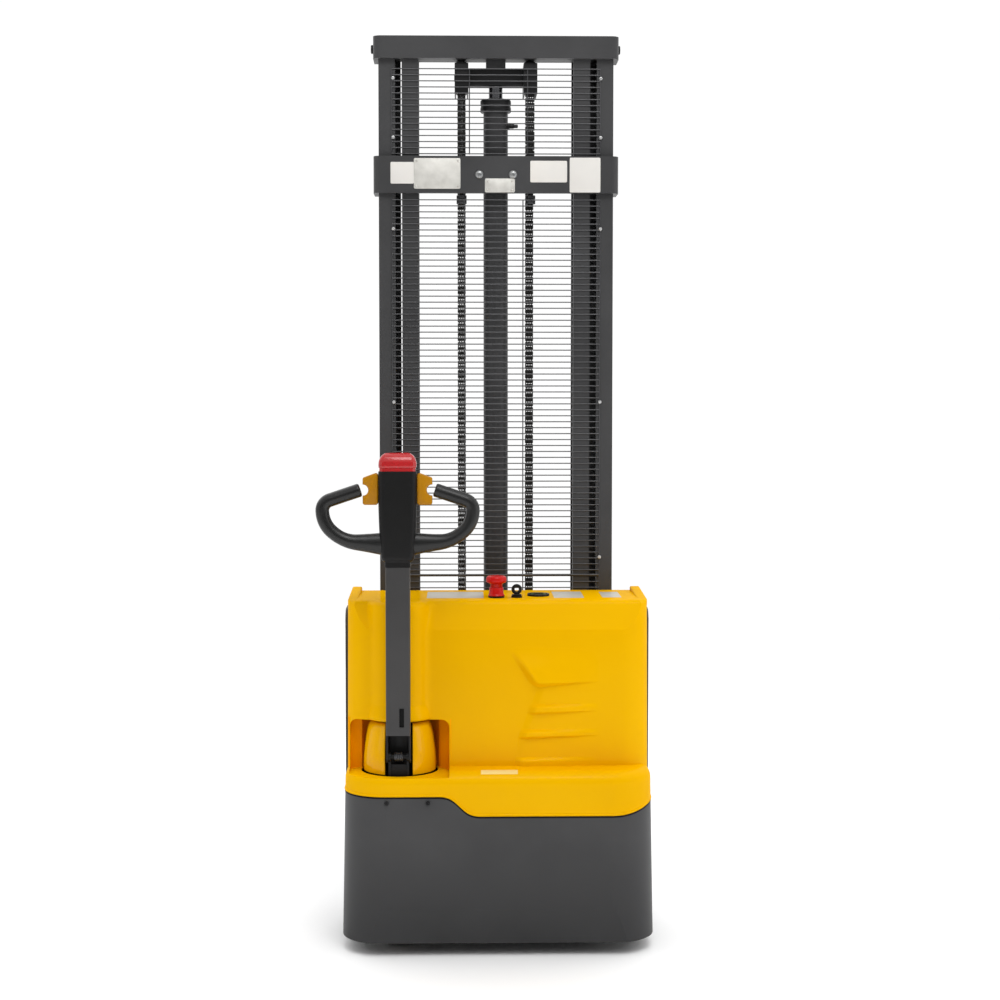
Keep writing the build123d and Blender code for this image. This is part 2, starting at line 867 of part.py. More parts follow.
def lower_skirt():
    """Painted steel skirt round the drive wheel and the caster."""
    shell = lower_form(0) - lower_form(skirt_wall)
    shell = shell & below_seam(0)
    return shell & block(-body_width, body_width, -body_width, side_plate_rear, 0, lip_top)


def upper_form(inset):
    """Housing of the cover as one drafted solid with a sloping upper edge."""
    front = body_depth + cover_corner
    face = plan_face(cover_half_width - inset, cover_rear + inset, front, cover_corner - inset)
    height = panel_height - inset - cover_base
    solid = Pos(0, 0, cover_base) * extrude(face, height, taper=cover_draft)
    start = cover_face(slope_low) + inset
    top = panel_height + cover_corner
    run = slope_depth * (top - slope_low) / (panel_height - slope_low)
    slope = side_cut(((start, slope_low), (start + run, top), (start - body_depth, top),
                      (start - body_depth, slope_low)), -body_width, body_width)
    column_top = panel_height - inset
    column = rod_z(steer_x, steer_y, cover_base, column_top, column_radius - inset)
    lean = side_cut(((steer_y - column_radius + inset, slope_low),
                     (steer_y - column_radius + inset + run, top),
                     (steer_y - body_depth, top), (steer_y - body_depth, slope_low)),
                    -body_width, body_width)
    housing = solid - slope
    edges = [edge for edge in housing.edges().group_by(Axis.Z)[-1] if edge.center().Y < body_depth]
    housing = fillet(edges, cover_round - inset)
    column = column - lean
    column = fillet(column.edges().group_by(Axis.Z)[-1], cover_round - inset)
    return housing + column


def cover_face(height):
    """Y of the cover's rear face at a height."""
    return cover_rear + (height - cover_base) * tan(radians(cover_draft))


def niche(inset):
    """Room in the cover for the turret to turn, grown by inset for the inner wall."""
    half = niche_half_width + inset
    room = block(steer_x - half, steer_x + half, -body_depth, niche_back + inset,
                 niche_floor - inset, niche_ceiling + inset)
    return fillet(room.edges().filter_by(Axis.Y).group_by(Axis.Z)[-1], niche_round + inset)


def louvre(left, height):
    """A moulded air slot that starts deep on the left and runs out to the right."""
    rear = cover_face(height)
    face = make_face(Polyline((left, rear - cover_wall), (left, rear + louvre_deep),
                              (louvre_right, rear), (louvre_right, rear - cover_wall), close=True))
    return Pos(0, 0, height - louvre_size / 2) * extrude(face, louvre_size)


def ear():
    """A rim that rises towards the mast along the right end of the top panel."""
    side = cover_half_width - (panel_height - cover_base) * tan(radians(cover_draft)) - running_gap
    front = cover_rear + cover_corner
    low = panel_height - cover_round
    rim = side_cut(((front, low), (bulkhead_rear, low), (bulkhead_rear, panel_height + ear_height),
                    (front, panel_height)), side - ear_width, side)
    return fillet(rim.edges().filter_by(GeomType.LINE).group_by(Axis.Z)[-2], ear_round)


def main_cover():
    """Moulded cover: lip over the skirt, housing, column over the turret and louvres."""
    lip = lower_form(0) & block(-body_width, body_width, -body_width, side_plate_rear, 0, panel_height)
    outer = lip + upper_form(0) - niche(0)
    for left, height in zip(louvre_left, louvre_heights):
        outer -= louvre(left, height)
    inner = lower_form(skirt_wall) + upper_form(cover_wall) - niche(cover_wall)
    for left, height in zip(louvre_left, louvre_heights):
        inner -= Pos(-cover_wall, cover_wall, 0) * louvre(left, height)
    shell = outer - inner - below_seam(seam_gap)
    shell = shell & block(-body_width, body_width, -body_width, bulkhead_rear, 0, mast_height)
    shell += ear() + mirrored(ear())
    shell -= rod_z(steer_x, steer_y, cover_base, niche_floor, turret_radius + turret_rim_gap)
    shell -= rod_z(steer_x, steer_y, niche_ceiling, niche_ceiling + cover_wall,
                   motor_radius + turret_rim_gap)
    shell -= rod_z(estop_x, switch_y, panel_height - switch_depth, panel_height, estop_neck)
    shell -= rod_z(key_x, switch_y, panel_height - switch_depth, panel_height, key_radius - gauge_step)
    shell -= rod_z(gauge_x, gauge_y, panel_height - switch_depth, panel_height, gauge_radius - gauge_step)
    return shell


def chassis_frame():
    """Floor plate, bulkhead in front of the mast and the two side plates, welded together."""
    floor = lower_form(skirt_wall) & block(-body_width, body_width, 0, side_plate_rear, floor_low, floor_top)
    floor += block(-side_plate_x, side_plate_x, side_plate_rear, body_depth, floor_low, floor_top)
    floor -= rod_z(steer_x, steer_y, floor_low, floor_top, bearing_inner + turret_rim_gap)
    floor -= rod_z(caster_x, caster_y, floor_low, floor_top, caster_stem + turning_gap)
    bulkhead = block(-side_plate_x, side_plate_x, bulkhead_rear, body_depth, side_plate_low, bulkhead_top)
    bulkhead -= rod_y(hose_x, bulkhead_rear, body_depth, hose_cross_z, hose_hole)
    bulkhead -= block(-outer_x - base_overhang, outer_x + base_overhang, bulkhead_rear, body_depth,
                      side_plate_low, base_top)
    side = block(side_plate_x, side_plate_x + side_plate, side_plate_rear, body_depth, side_plate_low,
                 side_plate_top)
    side = fillet(side.edges().filter_by(Axis.X).group_by(Axis.Y)[0].sort_by(Axis.Z)[-1:], side_plate_round)
    return floor + bulkhead + side + mirrored(side)


# Drive unit and turret

def steer_bearing():
    ring = rod_z(steer_x, steer_y, floor_top, bearing_top, bearing_outer)
    return ring - rod_z(steer_x, steer_y, floor_top, bearing_top, bearing_inner)


def drive_gearbox():
    """Turning flange with the gear case beside the wheel and the wheel's axle."""
    seat = bearing_top + running_gap
    flange = rod_z(steer_x, steer_y, seat, flange_top, flange_radius)
    spigot = rod_z(steer_x, steer_y, floor_low, seat, bearing_inner - running_gap)
    side = steer_x + drive_width / 2 + case_gap
    case = block(side, side + case_width, steer_y - case_half_depth, steer_y + case_half_depth,
                 drive_radius, floor_low)
    case += rod_x(side, side + case_width, steer_y, drive_radius, case_half_depth)
    axle = rod_x(steer_x - drive_width / 2, side, steer_y, drive_radius, drive_axle)
    return flange + spigot + case + axle


def drive_motor():
    """Upright motor with a ribbed case and the parking brake on top."""
    motor = rod_z(steer_x, steer_y, flange_top, motor_top, motor_radius)
    motor = fillet(motor.edges().group_by(Axis.Z)[-1], motor_round)
    return motor + rod_z(steer_x, steer_y, motor_top, motor_top + brake_height, brake_radius)


def drive_hub():
    half = drive_width / 2
    hub = rod_x(steer_x - half, steer_x + half, steer_y, drive_radius, hub_radius)
    return hub - rod_x(steer_x - half, steer_x + half, steer_y, drive_radius, drive_axle + turning_gap)


def drive_tyre():
    half = drive_width / 2
    tyre = rod_x(steer_x - half, steer_x + half, steer_y, drive_radius, drive_radius)
    tyre = fillet(tyre.edges().filter_by(GeomType.CIRCLE), tyre_round)
    return tyre - rod_x(steer_x - half, steer_x + half, steer_y, drive_radius, hub_radius)


def turret_cover():
    """Conical shell that rests on the motor and turns with it, open at the front for the arm."""
    low = niche_floor + turret_gap
    height = niche_ceiling - turret_gap - low
    shell = Cone(turret_radius, turret_top_radius, height, align=end_on)
    shell -= Pos(0, 0, -turret_wall) * Cone(turret_radius - turret_wall, turret_top_radius - turret_wall,
                                            height, align=end_on)
    shell = Pos(steer_x, steer_y, low) * shell
    shell -= rod_z(steer_x, steer_y, low, low + height, brake_radius + running_gap)
    return shell - block(steer_x - notch_half_width, steer_x + notch_half_width, -body_depth,
                         steer_y - turret_top_radius + notch_depth, low, low + height)


def tiller_bracket():
    """Two cheeks on the turning flange, joined by a web, with the tiller's pivot pin."""
    outside = arm_half - arm_wall - running_gap
    rear = pivot_y + bracket_depth / 2
    cheek = block(steer_x + outside - bracket_plate, steer_x + outside, pivot_y, rear,
                  flange_top, pivot_z)
    cheek += rod_x(steer_x + outside - bracket_plate, steer_x + outside, pivot_y, pivot_z,
                   bracket_depth / 2)
    web = block(steer_x - outside, steer_x + outside, rear - bracket_plate, rear, flange_top,
                pivot_z - clevis_radius - bracket_plate)
    end = arm_half + pivot_pin_end
    pin = rod_x(steer_x - end, steer_x + end, pivot_y, pivot_z, pivot_radius)
    other = Pos(-2 * outside + bracket_plate, 0, 0) * cheek
    return cheek + other + web + pin


# Tiller

def tiller_arm():
    """Rectangular tube whose side walls run down to the pivot as a clevis."""
    tube = block(steer_x - arm_half, steer_x + arm_half, arm_front, arm_back, arm_low,
                 head_low + head_socket)
    tube = fillet(tube.edges().filter_by(Axis.Z).group_by(Axis.Y)[0], arm_wall)
    bore = block(steer_x - arm_half + arm_wall, steer_x + arm_half - arm_wall, arm_front + arm_wall,
                 arm_back - arm_wall, arm_low, head_low + head_socket)
    slot_x = steer_x + arm_slot_x
    slot_z = arm_low + arm_slot_rise
    slot = block(slot_x - arm_slot_width / 2, slot_x + arm_slot_width / 2, arm_front, arm_front + arm_wall,
                 slot_z - arm_slot_length / 2, slot_z + arm_slot_length / 2)
    outline = ((arm_front + arm_wall, arm_low), (arm_back, arm_low), (pivot_y + clevis_radius, pivot_z),
               (pivot_y - clevis_radius, pivot_z))
    x0 = steer_x + arm_half - arm_wall
    cheek = side_cut(outline, x0, x0 + arm_wall) + rod_x(x0, x0 + arm_wall, pivot_y, pivot_z, clevis_radius)
    cheek -= rod_x(x0, x0 + arm_wall, pivot_y, pivot_z, pivot_radius + turning_gap)
    other = Pos(arm_wall - arm_width, 0, 0) * cheek
    return tube - bore - slot + cheek + other


def head_form(heights, grow):
    """Loft of the tiller head through rounded sections, grown on every side."""
    faces = [
        Pos(steer_x, arm_middle, height) * RectangleRounded(size[0] + 2 * grow, size[1] + 2 * grow, head_corner)
        for height, size in zip(heights, head_sections)
    ]
    return loft(faces)


def tiller_head():
    """Moulded head with a socket for the arm, a bore for the throttle and three button wells."""
    head = head_form((head_low, head_mid, head_high), 0)
    head -= block(steer_x - arm_half, steer_x + arm_half, arm_front, arm_back, head_low,
                  head_low + head_socket)
    head -= rod_x(steer_x - arm_width, steer_x + arm_width, arm_middle, throttle_height,
                  throttle_shaft + running_gap)
    rim = RectangleRounded(head_sections[2][0] - 2 * cap_rim, head_sections[2][1] - 2 * cap_rim,
                           head_corner - cap_rim)
    head -= Pos(steer_x, arm_middle, head_high - cap_cavity) * extrude(rim, cap_cavity)
    face = arm_middle + head_half_depth
    for x, height in button_spots.values():
        head -= rod_y(steer_x + x, face - button_length + button_stand - button_pocket, face + button_stand,
                      height, button_radius + running_gap)
    return head


def belly_button():
    """Red cap on the end of the head, pressed in by the operator's body."""
    inset = cap_rim + running_gap
    face = RectangleRounded(head_sections[2][0] - 2 * inset, head_sections[2][1] - 2 * inset,
                            head_corner - inset)
    cap = Pos(steer_x, arm_middle, head_high - cap_depth) * extrude(face, cap_depth + cap_stand)
    return fillet(cap.edges().group_by(Axis.Z)[-1], cap_round)


def grip(side):
    """One open grip loop: a tube that swells where it joins the head."""
    points = [(steer_x + side * x, arm_middle, head_low + rise) for x, rise in grip_points]
    path = FilletPolyline(*points, radius=grip_bends)
    along = grip_root_length / path.length

    def section(place, height, depth):
        plane = Plane(origin=path @ place, x_dir=(0, 0, 1), z_dir=path % place)
        return plane * Ellipse(height, depth)

    tube = sweep(section(0, grip_radius, grip_radius), path)
    thin = grip_radius + turning_gap
    root = loft([
        section(0, *grip_root),
        section(along / 2, (grip_root[0] + thin) / 2, (grip_root[1] + thin) / 2),
        section(along, thin, thin),
    ])
    return tube + root - head_form((head_low, head_mid, head_high), 0)


def throttle_butterfly():
    """Two thumb wings on one shaft through the head, each with a round notch."""
    half = wing_height / 2
    face = make_face(Polyline((wing_inner, -half), (wing_outer, -half), (wing_outer, half - wing_slope),
                              (wing_inner, half), close=True))
    face = fillet(face.vertices(), wing_corner)
    face -= Pos(wing_outer, -wing_notch_drop) * Circle(wing_notch)
    plane = Plane.XZ.offset(-arm_middle - wing_depth / 2)
    right = extrude(plane * (Pos(steer_x, throttle_height) * face), wing_depth)
    left = mirror(right, about=Plane.YZ.offset(steer_x))
    end = wing_inner + wing_corner
    shaft = rod_x(steer_x - end, steer_x + end, arm_middle, throttle_height, throttle_shaft)
    return right + left + shaft


def head_button(x, height):
    """Round push button on the far face of the head."""
    face = arm_middle + head_half_depth
    button = rod_y(steer_x + x, face + button_stand - button_length, face + button_stand, height,
                   button_radius)
    return fillet(button.edges().filter_by(GeomType.CIRCLE).group_by(Axis.Y)[-1], button_round)


# Panel controls

def switch_bodies():
    """Bodies of the emergency stop and the key switch, seated in the panel."""
    low = panel_height - switch_depth
    stop = rod_z(estop_x, switch_y, panel_height, panel_height + estop_collar_height, estop_collar)
    stop += rod_z(estop_x, switch_y, low, panel_height, estop_neck)
    stop -= rod_z(estop_x, switch_y, low + cover_wall, panel_height + estop_collar_height,
                  estop_stem + running_gap)
    key = rod_z(key_x, switch_y, panel_height, panel_height + key_collar, key_radius)
    key += rod_z(key_x, switch_y, low, panel_height, key_radius - gauge_step)
    return Compound(children=[*stop.solids(), *key.solids()])


def estop_button():
    """Red mushroom knob on its stem, with room to be pushed down."""
    rest = panel_height + estop_collar_height + estop_travel + estop_spare
    low = panel_height - switch_depth + cover_wall + estop_travel + running_gap
    estop_top = panel_height + estop_stand
    knob = rod_z(estop_x, switch_y, estop_top - estop_cap, estop_top, estop_radius)
    knob = fillet(knob.edges().filter_by(GeomType.CIRCLE), estop_cap_round)
    neck = rod_z(estop_x, switch_y, rest, estop_top - estop_cap / 2, estop_neck)
    stem = rod_z(estop_x, switch_y, low, rest, estop_stem)
    return knob + neck + stem


def key_knob():
    """Turning top of the key switch with a finger bar."""
    low = panel_height + key_collar + running_gap
    knob = rod_z(key_x, switch_y, low, low + key_knob_height, key_radius - roller_play)
    bar = block(key_x - key_bar / 2, key_x + key_bar / 2, switch_y - key_radius, switch_y + key_radius,
                low + key_knob_height / 2, low + key_knob_height)
    base = rod_z(key_x, switch_y, low, low + key_knob_height / 2, key_radius - roller_play)
    return base + (knob & bar)


def battery_gauge():
    """Round gauge with a raised bezel round a flat glass."""
    bezel = rod_z(gauge_x, gauge_y, panel_height, panel_height + gauge_bezel, gauge_radius)
    bezel -= rod_z(gauge_x, gauge_y, panel_height + gauge_bezel / 2, panel_height + gauge_bezel,
                   gauge_radius - gauge_bezel)
    return bezel + rod_z(gauge_x, gauge_y, panel_height - switch_depth / 2, panel_height,
                         gauge_radius - gauge_step)


# Caster

def caster_fork():
    """Swivel head with a stem through the floor plate and two trailing cheeks."""
    top = floor_low - running_gap
    seat = top - caster_plate
    head = rod_z(caster_x, caster_y, seat, top, caster_head)
    stem = rod_z(caster_x, caster_y, top, floor_top + running_gap, caster_stem)
    nut = rod_z(caster_x, caster_y, floor_top + running_gap, floor_top + caster_plate, caster_nut)
    axle_y = caster_y + caster_trail
    inside = caster_width / 2 + caster_side_gap
    waist = caster_head * 0.8
    outline = ((caster_y - waist / 2, seat), (caster_y + waist, seat), (axle_y + caster_boss, caster_radius),
               (axle_y - caster_boss, caster_radius))
    cheek = side_cut(outline, caster_x + inside, caster_x + inside + caster_plate)
    cheek += rod_x(caster_x + inside, caster_x + inside + caster_plate, axle_y, caster_radius, caster_boss)
    other = Pos(-2 * inside - caster_plate, 0, 0) * cheek
    axle = rod_x(caster_x - inside, caster_x + inside, axle_y, caster_radius, caster_axle)
    return head + stem + nut + cheek + other + axle


def caster_wheel():
    half = caster_width / 2
    axle_y = caster_y + caster_trail
    wheel = rod_x(caster_x - half, caster_x + half, axle_y, caster_radius, caster_radius)
    wheel = fillet(wheel.edges().filter_by(GeomType.CIRCLE), tyre_round)
    return wheel - rod_x(caster_x - half, caster_x + half, axle_y, caster_radius,
                         caster_axle + turning_gap)


# Power and hydraulics

def batteries():
    """Two sealed batteries side by side on the floor plate."""
    case = block(battery_left, battery_left + battery_width, battery_rear, battery_rear + battery_depth,
                 floor_top, floor_top + battery_height)
    case = fillet(case.edges().filter_by(Axis.Z), battery_round)
    other = Pos(battery_width + battery_gap, 0, 0) * case
    return Compound(children=[*case.solids(), *other.solids()])


def hydraulic_tank():
    """Oil tank bolted to the bulkhead."""
    top = tank_low + tank_height
    tank = block(tank_left, tank_left + tank_width, tank_rear, bulkhead_rear, tank_low, top)
    tank = fillet(tank.edges().filter_by(Axis.X).group_by(Axis.Y)[0], tank_round)
    filler = rod_z(tank_left + tank_width / 4, (tank_rear + bulkhead_rear) / 2, top, top + filler_height,
                   filler_radius)
    return tank + filler


def pump_motor():
    """Pump motor on the end of the tank."""
    x = tank_left + tank_width
    motor = rod_x(x, x + pump_length, bulkhead_rear - pump_radius, tank_low + tank_height / 2, pump_radius)
    return fillet(motor.edges().filter_by(GeomType.CIRCLE).group_by(Axis.X)[-1], pump_round)


def motor_controller():
    """Drive controller with cooling fins, on the bulkhead."""
    base = bulkhead_rear - controller_depth / 2
    top = controller_low + controller_height
    case = block(controller_left, controller_left + controller_width, base, bulkhead_rear, controller_low, top)
    pitch = controller_width / controller_fins
    for fin in range(controller_fins):
        x = controller_left + fin * pitch
        case += block(x, x + pitch / 3, bulkhead_rear - controller_depth, base, controller_low, top)
    return case


def lift_hose():
    """Pressure hose from the tank through the bulkhead to the barrel's port."""
    path = FilletPolyline(*[(hose_x, y, z) for y, z in hose_points], radius=hose_bends)
    return sweep(Plane(origin=path @ 0, z_dir=path % 0) * Circle(hose_radius), path)


parts = {
    "outer_rail_right": outer_rail(),
    "outer_rail_left": mirrored(outer_rail()),
    "mast_top_beam": mast_top_beam(),
    "mast_tie_beam": mast_tie_beam(),
    "cylinder_clamp": cylinder_clamp(),
    "mast_base": mast_base(),
    "guide_pads": guide_pads(),
    "mast_bolts": mast_bolts(),
    "guard_mesh_upper": guard_mesh(guard_upper_low, guard_upper_high),
    "guard_mesh_lower": guard_mesh(guard_low, guard_high),
    "lift_cylinder": lift_cylinder(),
    "piston_rod": piston_rod(),
    "chain_crosshead": chain_crosshead(),
    "inner_rail_right": inner_rail(),
    "inner_rail_left": mirrored(inner_rail()),
    "inner_crossmembers": Compound(children=[*inner_top_beam().solids(), *inner_tie_bar().solids()]),
    "chain_front_runs": both_sides(chain_run(chain_front_y, chain_front_low, chain_front_links)),
    "chain_rear_runs": both_sides(chain_run(chain_rear_y, chain_rear_low, chain_rear_links)),
    "chain_wraps": both_sides(chain_wrap()),
    "chain_wheels": both_sides(chain_wheel()),
    "chain_anchors": chain_anchors(),
    "carriage_anchors": carriage_anchors(),
    "mast_rollers": mast_rollers(),
    "carriage_rollers_lower": carriage_rollers(lower_roller_height),
    "carriage_rollers_upper": carriage_rollers(upper_roller_height),
    "fork_carriage": fork_carriage(),
    "fork_right": fork(),
    "fork_left": mirrored(fork()),
    "support_leg_right": support_leg(),
    "support_leg_left": mirrored(support_leg()),
    "load_roller_right": load_roller(),
    "load_roller_left": mirrored(load_roller()),
    "chassis_frame": chassis_frame(),
    "lower_skirt": lower_skirt(),
    "main_cover": main_cover(),
    "steer_bearing": steer_bearing(),
    "drive_gearbox": drive_gearbox(),
    "drive_motor": drive_motor(),
    "drive_hub": drive_hub(),
    "drive_tyre": drive_tyre(),
    "turret_cover": turret_cover(),
    "tiller_bracket": tiller_bracket(),
    "tiller_arm": tiller_arm(),
    "tiller_head": tiller_head(),
    "belly_button": belly_button(),
    "grip_right": grip(1),
    "grip_left": grip(-1),
    "throttle_butterfly": throttle_butterfly(),
    "panel_fittings": Compound(children=[*switch_bodies().solids(), *battery_gauge().solids()]),
    "estop_button": estop_button(),
    "key_knob": key_knob(),
    "caster_fork": caster_fork(),
    "caster_wheel": caster_wheel(),
    "batteries": batteries(),
    "pump_unit": Compound(children=[*hydraulic_tank().solids(), *pump_motor().solids()]),
    "motor_controller": motor_controller(),
    "lift_hose": lift_hose(),
}
for name, (x, height) in button_spots.items():
    parts[name] = head_button(x, height)

# The origin goes to the floor under the middle of the machine's own box.
boxes = [shape.bounding_box() for shape in parts.values()]
left_end = min(box.min.X for box in boxes)
right_end = max(box.max.X for box in boxes)
rear_end = min(box.min.Y for box in boxes)
front_end = max(box.max.Y for box in boxes)
centre = (-(left_end + right_end) / 2, -(rear_end + front_end) / 2, 0)
print("moved by", centre)

os.makedirs("parts", exist_ok=True)
for name, shape in parts.items():
    export_step(Location(centre) * shape, f"parts/{name}.step")
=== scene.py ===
from math import radians

import bmesh
import bpy
import numpy as np
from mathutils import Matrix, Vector


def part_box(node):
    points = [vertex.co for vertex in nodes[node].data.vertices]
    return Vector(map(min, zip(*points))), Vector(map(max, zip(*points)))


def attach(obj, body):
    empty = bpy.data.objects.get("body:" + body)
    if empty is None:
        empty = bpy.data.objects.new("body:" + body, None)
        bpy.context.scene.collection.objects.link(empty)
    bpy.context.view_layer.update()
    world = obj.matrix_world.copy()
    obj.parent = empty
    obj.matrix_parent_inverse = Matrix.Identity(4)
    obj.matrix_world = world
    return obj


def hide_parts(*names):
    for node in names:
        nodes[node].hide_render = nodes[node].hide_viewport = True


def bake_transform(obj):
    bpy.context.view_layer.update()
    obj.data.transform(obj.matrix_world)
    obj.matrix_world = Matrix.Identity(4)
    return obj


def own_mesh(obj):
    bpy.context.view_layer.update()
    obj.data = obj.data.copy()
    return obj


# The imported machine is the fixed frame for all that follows. Sizes are millimetres on the machine's own
# axes: X from its centre plane, Y forward from the skirt's rear face, Z up from the floor.
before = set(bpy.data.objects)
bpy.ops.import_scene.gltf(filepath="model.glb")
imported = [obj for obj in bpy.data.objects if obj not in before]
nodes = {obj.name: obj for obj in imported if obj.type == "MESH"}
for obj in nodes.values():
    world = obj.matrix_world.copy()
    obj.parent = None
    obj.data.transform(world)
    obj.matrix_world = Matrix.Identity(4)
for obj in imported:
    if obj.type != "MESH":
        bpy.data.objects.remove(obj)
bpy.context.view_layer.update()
rail_rear = 380
left_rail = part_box("outer_rail_left")
right_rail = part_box("outer_rail_right")
machine_x = (left_rail[0].x + right_rail[1].x) / 2
machine_y = left_rail[0].y - rail_rear / 1000


def on_machine(points):
    """Frame metres of machine millimetres: a thousandth of each length, moved to the machine's own axes."""
    return np.asarray(points, float) / 1000 + (machine_x, machine_y, 0)


# Studio: a pale floor, a white wall behind the machine, a dimmer room behind the camera, and soft lamps. The
# camera stands at the height of a standing chest, straight behind the machine, and looks a little down.
camera_place = (-95, -4600, 1419)
camera_pitch = 3.25
camera_turn = 1.214
camera_lens = 66.6
sensor_width = 36
floor_half = 6
floor_tone = 0.95
floor_rough = 0.9
room_light = 0.27
wall_light = 1.02
wall_edges = (-0.35, 0.55)
backdrop_light = 1.02
range_ends = ("From Min", "From Max", "To Min", "To Max")

lens = bpy.data.cameras.new("photo_camera")
lens.lens = camera_lens
lens.sensor_width = sensor_width
lens.sensor_fit = "HORIZONTAL"
camera = bpy.data.objects.new("photo_camera", lens)
camera.location = on_machine(camera_place)
camera.rotation_euler = (radians(90 - camera_pitch), 0, -radians(camera_turn))
bpy.context.scene.collection.objects.link(camera)
bpy.context.scene.camera = camera
bpy.context.scene.view_settings.view_transform = "Standard"

surround = bpy.data.worlds.new("studio_surround")
surround.use_nodes = True
studio = surround.node_tree
direction = studio.nodes.new("ShaderNodeTexCoord")
sides = studio.nodes.new("ShaderNodeSeparateXYZ")
studio.links.new(direction.outputs["Generated"], sides.inputs["Vector"])
wall = studio.nodes.new("ShaderNodeMapRange")
wall.interpolation_type = "SMOOTHSTEP"
for range_end, number in zip(range_ends, (*wall_edges, room_light, wall_light)):
    wall.inputs[range_end].default_value = number
studio.links.new(sides.outputs["Y"], wall.inputs["Value"])
backdrop = studio.nodes["Background"]
backdrop.inputs["Color"].default_value = (1, 1, 1, 1)
seen = studio.nodes.new("ShaderNodeLightPath")
shown = studio.nodes.new("ShaderNodeMix")
shown.inputs["B"].default_value = backdrop_light
studio.links.new(seen.outputs["Is Camera Ray"], shown.inputs["Factor"])
studio.links.new(wall.outputs["Result"], shown.inputs["A"])
studio.links.new(shown.outputs["Result"], backdrop.inputs["Strength"])
bpy.context.scene.world = surround

floor_sheet = bpy.data.meshes.new("studio_floor")
floor_corners = np.array(((-1, -1, 0), (1, -1, 0), (1, 1, 0), (-1, 1, 0))) * floor_half
floor_sheet.from_pydata(floor_corners.tolist(), [], [(0, 1, 2, 3)])
floor_paint = bpy.data.materials.new("studio_floor")
floor_paint.use_nodes = True
floor_shader = floor_paint.node_tree.nodes["Principled BSDF"]
floor_shader.inputs["Base Color"].default_value = (floor_tone, floor_tone, floor_tone, 1)
floor_shader.inputs["Roughness"].default_value = floor_rough
floor_sheet.materials.append(floor_paint)
studio_floor = bpy.data.objects.new("studio_floor", floor_sheet)
bpy.context.scene.collection.objects.link(studio_floor)


def soft_lamp(name, place, aim, width, height, watts):
    """A rectangular soft lamp at one machine point, its face turned towards another."""
    light = bpy.data.lights.new(name, "AREA")
    light.shape = "RECTANGLE"
    light.size = width
    light.size_y = height
    light.energy = watts
    lamp = bpy.data.objects.new(name, light)
    start = Vector(on_machine(place))
    lamp.location = start
    lamp.rotation_euler = (Vector(on_machine(aim)) - start).to_track_quat("-Z", "Y").to_euler()
    bpy.context.scene.collection.objects.link(lamp)


soft_lamp("ceiling_lamp", (0, 1500, 9000), (0, 1500, 0), 36, 36, 2650)
soft_lamp("key_lamp", (1100, -4300, 7200), (0, 100, 900), 4, 3, 205)
soft_lamp("right_lamp", (3700, -1300, 1500), (0, 200, 800), 1.2, 2.2, 18)
soft_lamp("left_lamp", (-3700, -1500, 1500), (0, 200, 800), 1.2, 2.2, 9)


# Chassis and skirt: bent and welded steel sheet with a satin charcoal powder coat, painted darker towards the
# floor as painted shade. Two countersunk screws hold the skirt below the cover's seam.
coat_rough = 0.12
tone_edges = (0.35, 0.65)
gloss_edges = (0.3, 0.7)
streak_edges = (1, 1.05)
streak_cover = 0.8
relief_depth = 0.001


def linear(colour):
    """Light values of a screen colour in steps of 255, by the screen's own curve."""
    screen = np.asarray(colour, float) / 255
    light = np.where(screen <= 0.04045, screen / 12.92, ((screen + 0.055) / 1.055) ** 2.4)
    return (*light.tolist(), 1.0)


